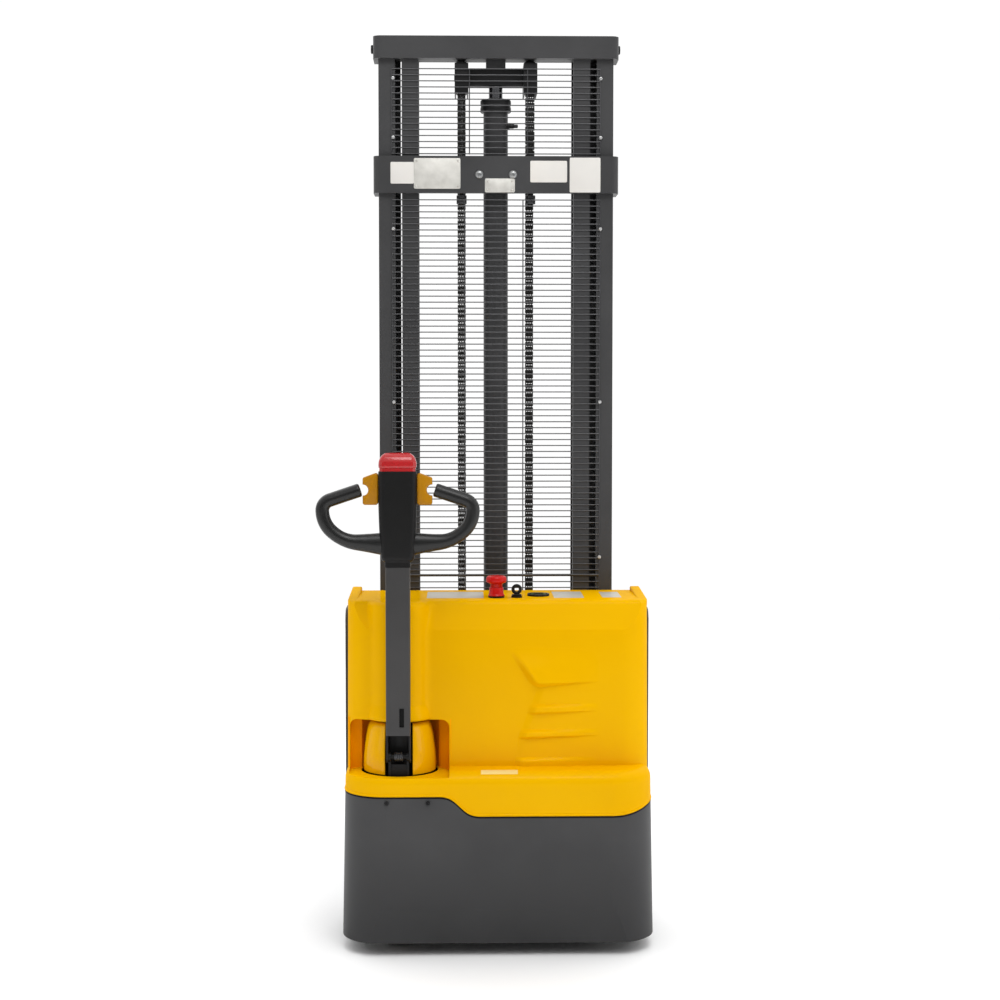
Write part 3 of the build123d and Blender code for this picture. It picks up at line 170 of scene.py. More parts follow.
def finish(name, tones, gloss, drift=5, grain=600, bump=0.1, metal=0.0, coat=0.0, shine=0.4, wear=None,
           dust_and_shade=None):
    """A surface finish: slow noise drifts its colour between two tones and its roughness between two values,
    and fine noise lifts its surface. Wear is (colour, share, stretch): streaks of another colour where a
    stretched noise passes the share. Dust and shade is (colour, top): a colour that fades from the floor
    upwards, as real dust on tyres and rollers and as painted shade on the charcoal steel."""
    material = bpy.data.materials.new(name)
    material.use_nodes = True
    tree = material.node_tree
    shader = tree.nodes["Principled BSDF"]
    shader.inputs["Metallic"].default_value = metal
    shader.inputs["Coat Weight"].default_value = coat
    shader.inputs["Coat Roughness"].default_value = coat_rough
    shader.inputs["Specular IOR Level"].default_value = shine
    where = tree.nodes.new("ShaderNodeTexCoord").outputs["Object"]

    def noise(scale, detail, place):
        node = tree.nodes.new("ShaderNodeTexNoise")
        node.inputs["Scale"].default_value = scale
        node.inputs["Detail"].default_value = detail
        tree.links.new(place, node.inputs["Vector"])
        return node.outputs["Fac"]

    def spread(value, *numbers):
        node = tree.nodes.new("ShaderNodeMapRange")
        for range_end, number in zip(range_ends, numbers):
            node.inputs[range_end].default_value = number
        tree.links.new(value, node.inputs["Value"])
        return node.outputs["Result"]

    def lay_over(below, colour, share):
        node = tree.nodes.new("ShaderNodeMix")
        node.data_type = "RGBA"
        tree.links.new(share, node.inputs["Factor"])
        tree.links.new(below, node.inputs["A"])
        node.inputs["B"].default_value = linear(colour)
        return node.outputs["Result"]

    slow = noise(drift, 4, where)
    ramp = tree.nodes.new("ShaderNodeValToRGB")
    for stop, edge, tone in zip(ramp.color_ramp.elements, tone_edges, tones):
        stop.position = edge
        stop.color = linear(tone)
    tree.links.new(slow, ramp.inputs["Fac"])
    colour = ramp.outputs["Color"]
    rough = spread(slow, *gloss_edges, *gloss)
    if wear:
        bright, share, stretch = wear
        streak = tree.nodes.new("ShaderNodeMapping")
        streak.inputs["Scale"].default_value = stretch
        tree.links.new(where, streak.inputs["Vector"])
        streaks = noise(1, 5, streak.outputs["Vector"])
        rubbed = spread(streaks, streak_edges[0] - share, streak_edges[1] - share, 0, streak_cover)
        colour = lay_over(colour, bright, rubbed)
    # A colour fading up from the floor: real dust on wheels and rollers, painted shade on the charcoal steel.
    if dust_and_shade:
        dust_and_shade_colour, top = dust_and_shade
        axes = tree.nodes.new("ShaderNodeSeparateXYZ")
        tree.links.new(where, axes.inputs["Vector"])
        dust_and_shade_share = tree.nodes.new("ShaderNodeMath")
        dust_and_shade_share.operation = "MULTIPLY"
        tree.links.new(spread(axes.outputs["Z"], 0, top / 1000, 1, 0), dust_and_shade_share.inputs[0])
        tree.links.new(slow, dust_and_shade_share.inputs[1])
        colour = lay_over(colour, dust_and_shade_colour, dust_and_shade_share.outputs["Value"])
    tree.links.new(colour, shader.inputs["Base Color"])
    tree.links.new(rough, shader.inputs["Roughness"])
    relief = tree.nodes.new("ShaderNodeBump")
    relief.inputs["Strength"].default_value = bump
    relief.inputs["Distance"].default_value = relief_depth
    tree.links.new(noise(grain, 2, where), relief.inputs["Height"])
    tree.links.new(relief.outputs["Normal"], shader.inputs["Normal"])
    return material


def dress(material, *names):
    """Gives the finish to each named solid of the machine."""
    for name in names:
        for slot in nodes[name].material_slots:
            slot.material = material


# Painted shade: near-black fades in from the floor up to 300 mm, standing in for the dimmer light low down.
skirt_coat = finish("skirt_powder_coat", ((63, 63, 64), (69, 69, 70)), (0.44, 0.52), bump=0.12, shine=0.2,
                    dust_and_shade=((4, 4, 4), 300))
dress(skirt_coat, "lower_skirt", "chassis_frame")


def surface(x, y, z):
    """Points of a surface: its three coordinates spread over one grid and laid side by side."""
    return np.stack(np.broadcast_arrays(x, y, z), axis=-1)


def full_turn(count):
    """Angles of evenly spaced points once round a circle."""
    return np.linspace(0, 2 * np.pi, count, endpoint=False)


def grid_quads(rows, columns, wrap_rows=False, wrap_columns=False):
    """Corner numbers of a grid's quads: each point with the next along its row and the two beside them in
    the next row. A wrapped direction joins its last line back to its first."""
    row = np.arange(rows - (not wrap_rows))[:, None]
    column = np.arange(columns - (not wrap_columns))[None, :]
    below = (row + 1) % rows
    beside = (column + 1) % columns
    corners = (row * columns + column, row * columns + beside, below * columns + beside,
               below * columns + column)
    return np.stack(corners, axis=-1).reshape(-1, 4).tolist()


def turned(profile, sides=32, ring=False):
    """A shape turned about Z: every (radius, height) of the profile goes once round a circle. A ring's
    profile is joined back from its last point to its first."""
    radius, height = np.asarray(profile, float).T[:, :, None]
    turn = full_turn(sides)
    points = surface(radius * np.cos(turn), radius * np.sin(turn), height)
    return points.reshape(-1, 3), grid_quads(len(profile), sides, ring, wrap_columns=True)


facing_up = ((1, 0, 0), (0, 1, 0), (0, 0, 1))
facing_rear = ((1, 0, 0), (0, 0, 1), (0, -1, 0))


def stand(shape, place, axes=facing_up):
    """The shape with its own three axes laid along the given directions and its origin at the place."""
    points, faces = shape
    return points @ np.asarray(axes, float) + place, faces


def copied_faces(faces, copies, count):
    """Faces of several like copies: each copy's corners counted on by the number of points before it."""
    return [[corner + copy * count for corner in face] for copy in range(copies) for face in faces]


def repeated(shape, places):
    """A copy of the shape at each place: the places added to all its points at once."""
    points, faces = shape
    places = np.asarray(places, float)
    copies = (places[:, None] + points[None]).reshape(-1, 3)
    return copies, copied_faces(faces, len(places), len(points))


def heads(profile, places, sides=32):
    """Turned screw heads that face the rear, one at each place."""
    return repeated(stand(turned(profile, sides), (0, 0, 0), facing_rear), places)


def piece(name, shape, material, body, slot, *replaced, crease=40):
    """A mesh of the shape that rides on a body: doubled points are merged, faces are turned outwards, and
    edges sharper than the crease angle stay sharp."""
    mesh = bpy.data.meshes.new(name)
    points, faces = shape
    mesh.from_pydata(on_machine(points).tolist(), [], faces)
    work = bmesh.new()
    work.from_mesh(mesh)
    bmesh.ops.remove_doubles(work, verts=work.verts, dist=1e-6)
    bmesh.ops.dissolve_degenerate(work, edges=work.edges, dist=1e-6)
    bmesh.ops.recalc_face_normals(work, faces=work.faces)
    work.to_mesh(mesh)
    work.free()
    mesh.shade_smooth()
    mesh.set_sharp_from_angle(angle=radians(crease))
    mesh.materials.append(material)
    made = bpy.data.objects.new(name, mesh)
    bpy.context.scene.collection.objects.link(made)
    if body:
        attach(made, body)
    if replaced:
        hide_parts(*replaced)
    return made


black_steel = finish("black_oxide_steel", ((28, 28, 29), (40, 40, 41)), (0.35, 0.5), metal=0.6, bump=0.05)
skirt_screw_spots = ((-283, 3, 394), (-179, 3, 394))
skirt_screw = ((0, 0.4), (2.2, 0.4), (2.4, 2.2), (4.6, 1.9), (5.6, 0.6), (5.6, -2), (0, -2))
piece("skirt_screws", heads(skirt_screw, skirt_screw_spots, 24), black_steel, "machine", "steel")


# Moulded cover: one glossy yellow shell over the skirt, with a column above the turret and three air slots
# moulded in a swollen pad. A lining closes the niche round the turret; its deeper orange yellow is painted
# shade for the recess.
cover_gloss = finish("cover_yellow_gloss", ((229, 171, 0), (233, 176, 0)), (0.28, 0.36), drift=3, bump=0.04,
                     coat=0.08, shine=0.0)
dress(cover_gloss, "main_cover")
cover_rear = 95
cover_base = 440
cover_draft = 0.3
slope_low = 820
slope_run = 25 / 73
panel_z = 893
edge_round = 14
mould_wall = 3
gill_slats = ((780, 706, 686, 19, 21), (634, 620, 611, 12, 17), (569, 555, 548, 13, 17),
              (497, 482, 466, 4, 13))
gill_left_heights = (466, 540, 600, 668, 690, 775, 790)
gill_left = (50, 59, 81, 108, 86, 30, 20)
gill_right = 262
gill_past = 6
gill_edge = 26
gill_sunk = 0.4
slot_least = 2
pad_depth = 4
pad_run = 60


def cover_face(z):
    """Y of the cover's rear face at a height: a slight draft up to the crease, a steeper lean above it."""
    drafted = cover_rear + (z - cover_base) * np.tan(radians(cover_draft))
    return drafted + np.maximum(z - slope_low, 0) * slope_run


def ease(value):
    """A smooth step: level at 0, rising by the cubic 3v2 - 2v3, level again at 1."""
    value = np.clip(value, 0, 1)
    return value * value * (3 - 2 * value)


def walled(outer, inner):
    """A closed wall between two like grids: every row goes out along the first and back along the second,
    and the end rows are filled across."""
    rows, columns = outer.shape[:2]
    points = np.concatenate((outer, inner[:, ::-1]), axis=1).reshape(-1, 3)
    across = np.arange(columns - 1)
    first = np.stack((across, across + 1, 2 * columns - 2 - across, 2 * columns - 1 - across), axis=-1)
    ends = np.concatenate((first, first + (rows - 1) * 2 * columns)).tolist()
    return points, grid_quads(rows, 2 * columns, wrap_columns=True) + ends


def gills():
    """The swollen pad with the air slots, over a grid of X and Z. Each slat is given by its top, the foot of
    its upper bevel, its lower edge, the slot's drop below that edge and its depth: it swells down the bevel,
    stays level and falls back into the slot. All of it runs out from a slanting left edge to the right."""
    z = np.linspace(gill_left_heights[0], gill_left_heights[-1], 240)[:, None]
    x = np.linspace(gill_left[-1] - gill_edge, gill_right + gill_past, 110)[None, :]
    left = np.interp(z, gill_left_heights, gill_left)
    fade = np.clip((gill_right - x) / (gill_right - left), 0, 1)
    top, foot, edge, drop, depth = np.array(gill_slats, float).T[:, :, None, None]
    drop = np.maximum(drop * fade, slot_least)
    level = np.minimum((top - z) / (top - foot), (z - edge + drop) / drop)
    pad = pad_depth * ease((gill_slats[0][0] - z) / pad_run)
    swell = np.maximum((depth * ease(level)).max(axis=0), pad)
    swell = swell * fade * ease((x - left + gill_edge / 2) / gill_edge) - gill_sunk
    outer = surface(x, cover_face(z) - swell, z)
    return walled(outer, outer + (0, mould_wall, 0))


steer_x = -253
steer_y = 135
column_radius = 80
column_low = 594
column_proud = 0.2
column_back = (0, 150, 0.1)
valley_radius = 30
valley_run_on = 9
valley_sunk = 1
corner_x = -319
corner_radius = 70
flat_radius = 1e5


def hollow(face, column, edge, side, other_x, other_radius):
    """The hollow beside the column, in plan about the steering axis: an arc of the valley radius that touches
    the column and a second circle, whose rear is the face. Its centre lies where circles about both, each
    larger by the valley radius, meet. A last point runs on round the second circle and sinks below it."""
    other_y = face + other_radius - steer_y
    apart_x = other_x - steer_x
    apart = np.hypot(apart_x, other_y)
    reach = column + valley_radius
    along = (reach ** 2 - (other_radius + edge + valley_radius) ** 2 + apart ** 2) / (2 * apart)
    out = side * np.sqrt(reach ** 2 - along ** 2)
    centre_x = (along * apart_x + out * other_y) / apart
    centre_y = (along * other_y - out * apart_x) / apart
    start = np.arctan2(-centre_y, -centre_x)
    end = np.arctan2(other_y - centre_y, apart_x - centre_x)
    turn = start + (end - start) * np.linspace(0, 1, 14)
    last = end + np.pi + side * valley_run_on / other_radius
    sunk = other_radius + edge - valley_sunk
    x = np.concatenate((centre_x + valley_radius * np.cos(turn), apart_x + sunk * np.cos(last)), axis=1)
    y = np.concatenate((centre_y + valley_radius * np.sin(turn), other_y + sunk * np.sin(last)), axis=1)
    return x, y


def column_wall():
    """The column with the hollows beside it: at each height a plan path out of the left hollow, round the
    column and into the right one. Under the panel all of it draws in by a quarter circle, and a last row
    closes the top."""
    bend = edge_round * np.sin(np.linspace(0, np.pi / 2, 9)[1:])
    edge_low = panel_z - edge_round
    z = np.concatenate((np.linspace(column_low, edge_low, 50), edge_low + bend))[:, None]
    over = np.maximum(z - panel_z + edge_round, 0)
    edge = column_proud - edge_round + np.sqrt(edge_round ** 2 - over ** 2)
    column = column_radius + edge
    left_x, left_y = hollow(cover_face(z), column, edge, -1, corner_x, corner_radius)
    right_x, right_y = hollow(cover_face(z), column, edge, 1, steer_x, flat_radius)
    start = np.arctan2(left_y[:, :1], left_x[:, :1])
    end = np.arctan2(right_y[:, :1], right_x[:, :1])
    turn = start + (end - start) * np.linspace(0, 1, 42)[1:-1]
    x = np.concatenate((left_x[:, ::-1], column * np.cos(turn), right_x), axis=1) + steer_x
    y = np.concatenate((left_y[:, ::-1], column * np.sin(turn), right_y), axis=1) + steer_y
    wall = surface(x, y, z)
    top = wall[-1:] * (1, 0, 1) + column_back
    outer = np.concatenate((wall, top))
    return walled(outer, outer + (0, mould_wall, -mould_wall))


rim_profile = ((76, 590.6), (84.6, 590.6), (87.2, 592), (88.4, 594.6), (88.2, 599), (86.6, 607),
               (83.6, 617), (80.6, 628), (79.6, 634))
niche_right = ((129.5, -39), (128.8, -24), (126.5, -12), (121.5, -2), (114, 6), (106, 11.5))
niche_left = ((-105, 24.2), (-112, 22.5), (-120, 19), (-125.5, 14), (-128.5, 8), (-129.5, 2))
niche_radius = 102
niche_ends = (radians(10), radians(166))
niche_low = 454
niche_high = 591


def circle(turn):
    """Points of the unit circle at the given angles."""
    return np.stack((np.cos(turn), np.sin(turn)), axis=-1)


def niche_wall():
    """The hollow round the turret: a plan path goes in at one side of the mouth, bends to an arc about the
    steering axis, and comes out at the other side. It is carried from the shelf up to the ceiling."""
    arc = niche_radius * circle(np.linspace(*niche_ends, 60))
    path = np.concatenate((niche_right, arc, niche_left)) + (steer_x, steer_y)
    outer = surface(path[:, 0], path[:, 1], np.linspace(niche_low, niche_high, 12)[:, None])
    away = (outer - (steer_x, steer_y, 0)) * (1, 1, 0)
    away /= np.linalg.norm(away, axis=-1, keepdims=True)
    return walled(outer, outer + mould_wall * away)


def joined(*shapes):
    """Several shapes as one: their points in one list, each one's faces counted on from those before."""
    starts = np.cumsum([0] + [len(points) for points, _ in shapes])
    faces = [[corner + start for corner in face]
             for start, (_, part) in zip(starts.tolist(), shapes) for face in part]
    return np.concatenate([points for points, _ in shapes]), faces


column_rim = stand(turned(rim_profile, 96, ring=True), (steer_x, steer_y, 0))
cover_forms = joined(gills(), column_wall(), column_rim)
piece("cover_gills_and_column", cover_forms, cover_gloss, "machine", "cover_yellow", crease=60)
# Painted shade: the lining is a more orange copy of the cover's yellow, for the light deep in the recess.
niche_shade_gloss = finish("niche_painted_shade_yellow", ((248, 162, 0), (253, 168, 0)), (0.34, 0.42), drift=3, bump=0.04,
                     shine=0.03)
piece("niche_lining", niche_wall(), niche_shade_gloss, "machine", "cover_yellow")


# Cover labels: three blank grey labels stuck flat on the top panel, and a blank cream one that is wrapped
# over the rounded edge of the lip. Each is a thin film.
sticker_rings = ((0, -0.2), (0, 0.25), (0.3, 0.4))
sticker_corner = 3
panel_stickers = (((-110, 252, panel_z), (148, 150)), ((186, 252, panel_z), (78, 150)),
                  ((298, 252, panel_z), (50, 132)))
lip_sticker_x = (-45, 48)
lip_sticker_along = (-2, 20)
lip_sticker_faces = (0.4, -0.3)
lip_turn = 30
lip_turn_y = 37.8
lip_turn_z = 440


def rounded_rectangle(width, height, radius, steps=6):
    """Outline of a rectangle with round corners: a quarter circle about each of its four inner corners."""
    quarter = np.arange(4)[:, None] * np.pi / 2 + np.linspace(0, np.pi / 2, steps)
    corner = np.array(((1, 1), (-1, 1), (-1, -1), (1, -1))) * (width / 2 - radius, height / 2 - radius)
    return (corner[:, None] + radius * circle(quarter)).reshape(-1, 2)


def tube(points):
    """A closed tube through rows of points: each row is joined round and on to the next row, and the first
    and last rows are filled."""
    rows, columns = points.shape[:2]
    last = (rows - 1) * columns
    ends = [list(range(columns)), list(range(last, last + columns))]
    return points.reshape(-1, 3), grid_quads(rows, columns, wrap_columns=True) + ends


def slab(outline, rings):
    """A flat piece on an anticlockwise outline: the outline is carried through rings of (inset, height),
    moved inwards along its own normals, and both ends are closed."""
    outline = np.asarray(outline, float)
    along = np.roll(outline, -1, axis=0) - np.roll(outline, 1, axis=0)
    inward = np.stack((-along[:, 1], along[:, 0]), axis=-1)
    inward /= np.linalg.norm(inward, axis=1, keepdims=True)
    inset, height = np.asarray(rings, float).T[:, :, None, None]
    flat = outline + inset * inward
    return tube(surface(flat[:, :, 0], flat[:, :, 1], height[:, :, 0]))


def flat_plates(rows, corner, rings, axes=facing_up):
    """Flat rectangles with round corners, one for each row of a place and a (width, height)."""
    return joined(*[stand(slab(rounded_rectangle(*size, corner), rings), place, axes)
                    for place, size in rows])


def lip_sheet(radius):
    """A sheet over the lip's edge: flat on the lip's top, then round the edge at a radius from its centre."""
    x = np.linspace(*lip_sticker_x, 4)[None, :]
    along = np.linspace(*lip_sticker_along, 20)[:, None]
    turn = np.maximum(along, 0) / lip_turn
    y = lip_turn_y - np.minimum(along, 0) - radius * np.sin(turn)
    return surface(x, y, lip_turn_z + radius * np.cos(turn))


panel_grey = finish("panel_label_grey", ((186, 181, 170), (197, 191, 180)), (0.4, 0.5), bump=0.03,
                    shine=0.15)
panel_labels = flat_plates(panel_stickers, sticker_corner, sticker_rings)
piece("panel_labels", panel_labels, panel_grey, "machine", "nylon")
lip_cream = finish("lip_label_cream", ((232, 205, 132), (239, 213, 142)), (0.4, 0.5), bump=0.03, shine=0.15)
lip_label = walled(*[lip_sheet(lip_turn + face) for face in lip_sticker_faces])
piece("lip_label", lip_label, lip_cream, "machine", "nylon")


# Cover seam: the cover's lower edge is turned over in a rounded bead, which sits on a black rubber seal on
# the skirt. It steps down from the turret's side and rises again at the right corner.
seam_left = 408
seam_right = 358
seam_step = (-150, -48)
seam_rise_from = 290
seam_rise = 24
seam_sunk = 0.6
skirt_half = 400
skirt_corner = 115
skirt_foot = 35
skirt_draft = 1.1
skirt_side_end = 343
side_rows = 6
corner_rows = 20
rear_rows = 80
bead_section = (2.6, 3.4, 4)
seal_section = (1.6, 2.4, -1.8)


def seam_height(x):
    """Height of the seam at an X: level on the left, down an S whose run and fall are cubics of one
    parameter, level, and up a parabola at the right corner."""
    share = np.linspace(0, 1, 200)
    run = seam_step[0] + (seam_step[1] - seam_step[0]) * (1.5 * share * (1 - share) + share ** 3)
    fall = np.interp(x, run, ease(share))
    climb = np.clip((x - seam_rise_from) / (skirt_half - seam_rise_from), 0, 1)
    return seam_left + (seam_right - seam_left) * fall + seam_rise * climb ** 2


def along_seam(out, up, lift):
    """An ellipse carried along the seam, round the drafted plan of the skirt, from the left side over both
    rear corners to the right side. It stands out and up by its half axes, its centre lifted from the seam."""
    centre = skirt_half - skirt_corner
    end_rows = side_rows + corner_rows
    turn = np.concatenate((np.zeros(side_rows), np.linspace(0, np.pi / 2, corner_rows),
                           np.full(rear_rows, np.pi / 2), np.linspace(np.pi / 2, np.pi, corner_rows),
                           np.full(side_rows, np.pi)))
    side = np.concatenate((np.linspace(skirt_side_end, skirt_corner, side_rows),
                           np.full(2 * corner_rows + rear_rows, skirt_corner),
                           np.linspace(skirt_corner, skirt_side_end, side_rows)))
    middle = np.concatenate((np.full(end_rows, -centre), np.linspace(-centre, centre, rear_rows),
                             np.full(end_rows, centre)))
    outward = -circle(turn)
    height = seam_height(middle + skirt_corner * outward[:, 0])
    radius = skirt_corner - (height - skirt_foot) * np.tan(radians(skirt_draft))
    plan = np.stack((middle, side), axis=-1) + radius[:, None] * outward
    around = full_turn(16)
    flat = plan[:, None, :] + (out * np.cos(around)[None, :, None] - seam_sunk) * outward[:, None, :]
    return tube(surface(flat[:, :, 0], flat[:, :, 1], height[:, None] + lift + up * np.sin(around)))


# The seal's black rubber finish also serves as the painted shadow behind the arm's slot.
seal_and_shade_black = finish("seam_seal_rubber_and_slot_shade", ((12, 12, 12), (20, 20, 20)), (0.6, 0.75), bump=0.1, shine=0.15)
piece("cover_seam_bead", along_seam(*bead_section), cover_gloss, "machine", "cover_yellow")
piece("cover_seam_seal", along_seam(*seal_section), seal_and_shade_black, "machine", "dark_plastic")


# Panel rims and apron: the panel's ends are moulded up into rounded rims that grow towards the mast. An apron
# of the same yellow plastic closes the panel's edge in front of the mast.
ear_side = 386.6
ear_width = 26
ear_corner = (319, 165)
ear_end = 371.5
ear_height = 10
ear_cover = 0.4
ear_shoulder = 4.2
ear_run_out = 40
ear_foot = 15.5
panel_round = 14.5
apron_half = 384
apron_low = 846
apron_high = 890
apron_corner = 10
apron_rings = ((0, -1.6), (0, 1.6))
apron_y = ear_end - 1.7


def ear_rim():
    """The rim along the right end of the panel: a section with a rounded shoulder at each side, run round the
    panel's corner and along its side. Round the corner the outer shoulder tightens from the panel's own
    rounding to the rim's; along the side the rim's height grows in a straight line towards the mast."""
    bend = np.radians(np.linspace(ear_run_out, 0, 12, endpoint=False))
    y = np.linspace(ear_corner[1], ear_end, 24)
    round_out = circle(-bend)
    outward = np.concatenate((round_out, np.tile((1.0, 0.0), (len(y), 1))))
    plan = np.concatenate((ear_corner + (ear_side - ear_corner[0]) * round_out,
                           np.stack((np.full(len(y), ear_side), y), axis=-1)))
    grown = np.concatenate((ease(np.linspace(0, 1, len(bend), endpoint=False)), np.ones(len(y))))[:, None]
    slope = np.concatenate((np.zeros(len(bend)), (y - ear_corner[1]) / (ear_end - ear_corner[1])))[:, None]
    edge = ear_cover * (2 * grown - 1)
    rise = edge + ear_height * slope
    shoulder = panel_round + (ear_shoulder - panel_round) * grown
    turn = np.linspace(0, np.pi / 2, 9)
    out = np.concatenate((edge, edge - shoulder * (1 - np.cos(turn)),
                          edge - ear_width + ear_shoulder * (1 - np.sin(turn)), edge - ear_width), axis=1)
    up = np.concatenate((0 * rise - ear_foot, rise - shoulder * (1 - np.sin(turn)),
                         rise - ear_shoulder * (1 - np.cos(turn)), 0 * rise - ear_shoulder - 1), axis=1)
    flat = plan[:, None, :] + out[:, :, None] * outward[:, None, :]
    outer = surface(flat[:, :, 0], flat[:, :, 1], panel_z + up)
    return walled(outer, outer * (1, 1, 0) + (0, 0, panel_z - ear_foot - 1))


def mirrored(shape):
    """The shape at the other side of the centre plane: every X turned over."""
    points, faces = shape
    return points * (-1, 1, 1), faces


right_ear = ear_rim()
apron_plate = slab(rounded_rectangle(2 * apron_half, apron_high - apron_low, apron_corner), apron_rings)
apron = stand(apron_plate, (0, apron_y, (apron_low + apron_high) / 2), facing_rear)
rims = joined(right_ear, mirrored(right_ear), apron)
piece("cover_ears_and_apron", rims, cover_gloss, "machine", "cover_yellow", crease=50)


# Steered drive unit: a cast gearbox with its motor on a turning ring, and a rubber-tyred wheel on a machined
# hub. The tiller's bracket on top of it is folded steel in black paint.
cast_iron = finish("cast_iron_grey", ((70, 71, 73), (92, 93, 95)), (0.5, 0.65), grain=300, bump=0.4,
                   metal=0.5)
motor_black = finish("motor_black_paint", ((16, 16, 17), (24, 24, 25)), (0.4, 0.5), bump=0.15, shine=0.25)
bright_steel = finish("machined_steel", ((150, 151, 153), (176, 177, 179)), (0.25, 0.4), drift=20, metal=1.0,
                      bump=0.05)
wheel_rubber = finish("wheel_polyurethane", ((36, 34, 33), (50, 47, 45)), (0.55, 0.75), bump=0.3,
                      dust_and_shade=((128, 122, 114), 120))
bracket_black = finish("bracket_black_paint", ((13, 13, 14), (20, 20, 21)), (0.4, 0.5), bump=0.15,
                       shine=0.25)
dress(cast_iron, "drive_gearbox", "steer_bearing")
dress(motor_black, "drive_motor")
dress(bright_steel, "drive_hub")
dress(wheel_rubber, "drive_tyre")
dress(bracket_black, "tiller_bracket")


# Turret cover: a glossy yellow barrel moulded round the drive motor, which turns with it. It is open at the
# rear, where the tiller's bracket stands out.
turret_profile = ((92.5, 457), (93.1, 466), (92.9, 480), (91.8, 498), (89.6, 520), (86.5, 543), (83.2, 562),
                  (79.8, 574), (75.7, 580.6), (71.0, 583.4), (65.0, 584.2), (47.0, 584.2))
turret_notch_half = 36
turret_wall = 4


def turret_barrel():
    """A barrel turned about the steering axis, open at the rear: at each height its two edges lie in upright
    planes one notch half-width from the axis, and the rest of the circle is shared out between them."""
    radius, z = np.array(turret_profile).T[:, :, None]
    edge = np.arcsin(turret_notch_half / radius)
    turn = -np.pi / 2 + edge + (2 * np.pi - 2 * edge) * np.linspace(0, 1, 120)
    outer = surface(radius * np.cos(turn), radius * np.sin(turn), z)
    thin = 1 - turret_wall / radius
    axis = (steer_x, steer_y, 0)
    return walled(outer + axis, outer * surface(thin, thin, np.ones_like(z)) + axis)


turret_gloss = finish("turret_yellow_gloss", ((226, 167, 0), (231, 172, 0)), (0.2, 0.26), drift=3, bump=0.03,
                      coat=0.32, shine=0.0)
piece("turret_barrel", turret_barrel(), turret_gloss, "drive_unit", "cover_yellow", "turret_cover")


# Caster: a swivelling fork of pressed zinc-plated steel, bolted under the right rear corner of the chassis.
# A grey rubber wheel turns on its axle.
zinc_plate = finish("zinc_plate", ((142, 144, 146), (166, 167, 166)), (0.3, 0.45), drift=30, metal=0.9,
                    bump=0.1)
caster_grey = finish("caster_tyre_grey", ((84, 84, 85), (102, 101, 100)), (0.5, 0.65), bump=0.2,
                     dust_and_shade=((128, 122, 114), 100))
dress(zinc_plate, "caster_fork")
dress(caster_grey, "caster_wheel")


# Power and hydraulics inside the cover: two black batteries, a pump on its tank, the motor controller and
# the lift hose. They are plain bought-in units behind the shell.
battery_case = finish("battery_case_plastic", ((34, 35, 38), (46, 47, 50)), (0.45, 0.6), bump=0.25)
controller_case = finish("controller_alloy", ((126, 128, 131), (148, 150, 152)), (0.35, 0.5), drift=14,
                         metal=0.8, bump=0.1)
hose_cover = finish("hose_rubber", ((24, 24, 25), (36, 36, 37)), (0.5, 0.65), grain=900, bump=0.3)
dress(battery_case, "batteries")
dress(motor_black, "pump_unit")
dress(controller_case, "motor_controller")
dress(hose_cover, "lift_hose")


# Support legs: folded charcoal channels that run out from the chassis under the forks. A white nylon load
# roller turns on an axle in the end of each.
roller_nylon = finish("load_roller_nylon", ((206, 203, 194), (222, 220, 212)), (0.4, 0.5), bump=0.1,
                      dust_and_shade=((138, 132, 124), 90))
# The legs share the skirt's coat and its painted shade towards the floor.
dress(skirt_coat, "support_leg_left", "support_leg_right")
dress(roller_nylon, "load_roller_left", "load_roller_right")


# Outer mast: two rolled channels on a base plate, tied by bent plates, all in charcoal paint. Nylon pads
# guide the inner rails, and bolts and screws hold the pads, the cylinder clamp and the guard.
mast_coat = finish("mast_charcoal_paint", ((59, 59, 60), (65, 65, 66)), (0.38, 0.48), bump=0.15, shine=0.32)
pad_nylon = finish("guide_pad_nylon", ((40, 40, 41), (56, 56, 57)), (0.5, 0.6), bump=0.1)
bright_zinc = finish("bright_zinc_plate", ((206, 207, 208), (226, 226, 225)), (0.25, 0.35), drift=60,
                     metal=0.6, bump=0.05)
dress(mast_coat, "outer_rail_left", "outer_rail_right", "mast_top_beam", "mast_tie_beam", "mast_base",
      "cylinder_clamp")
dress(pad_nylon, "guide_pads")
facing_right = ((0, 1, 0), (0, 0, 1), (1, 0, 0))
rail_middle = 435
beam_face_y = 366
clamp_bolt_x = 45
clamp_bolt_z = 2005
clamp_bolt = ((0, 3.4), (3, 3.4), (3.3, 5.6), (7, 5), (10, 2.8), (11.4, 0), (11.4, -1), (0, -1))
guard_screw_x = (-274, 279)
guard_screw_y = 376.5
guard_screw_z = (2260, 2104, 1862, 1400, 982)
guard_screw = ((0, 2.2), (1.5, 2.2), (1.7, 3.9), (3.6, 3.5), (4.6, 2.2), (4.8, 0.6), (4.8, -0.6),
               (0, -0.6))
pad_bolt_place = (327, rail_middle, 2345)
pad_bolt_radius = 12.5
pad_bolt_rings = ((0.4, -0.5), (0, 0.3), (0, 6.4), (1.8, 8))
hexagon = circle(np.arange(6) * np.pi / 3)

clamp_spots = [(side * clamp_bolt_x, beam_face_y, clamp_bolt_z) for side in (-1, 1)]
guard_spots = [(x, guard_screw_y, z) for x in guard_screw_x for z in guard_screw_z]
pad_bolt = stand(slab(pad_bolt_radius * hexagon, pad_bolt_rings), pad_bolt_place, facing_right)
piece("clamp_bolt_heads", heads(clamp_bolt, clamp_spots), zinc_plate, "machine", "steel", "mast_bolts")
piece("guard_screws", heads(guard_screw, guard_spots, 20), bright_zinc, "machine", "steel")
piece("pad_bolt_heads", joined(pad_bolt, mirrored(pad_bolt)), black_steel, "machine", "steel")


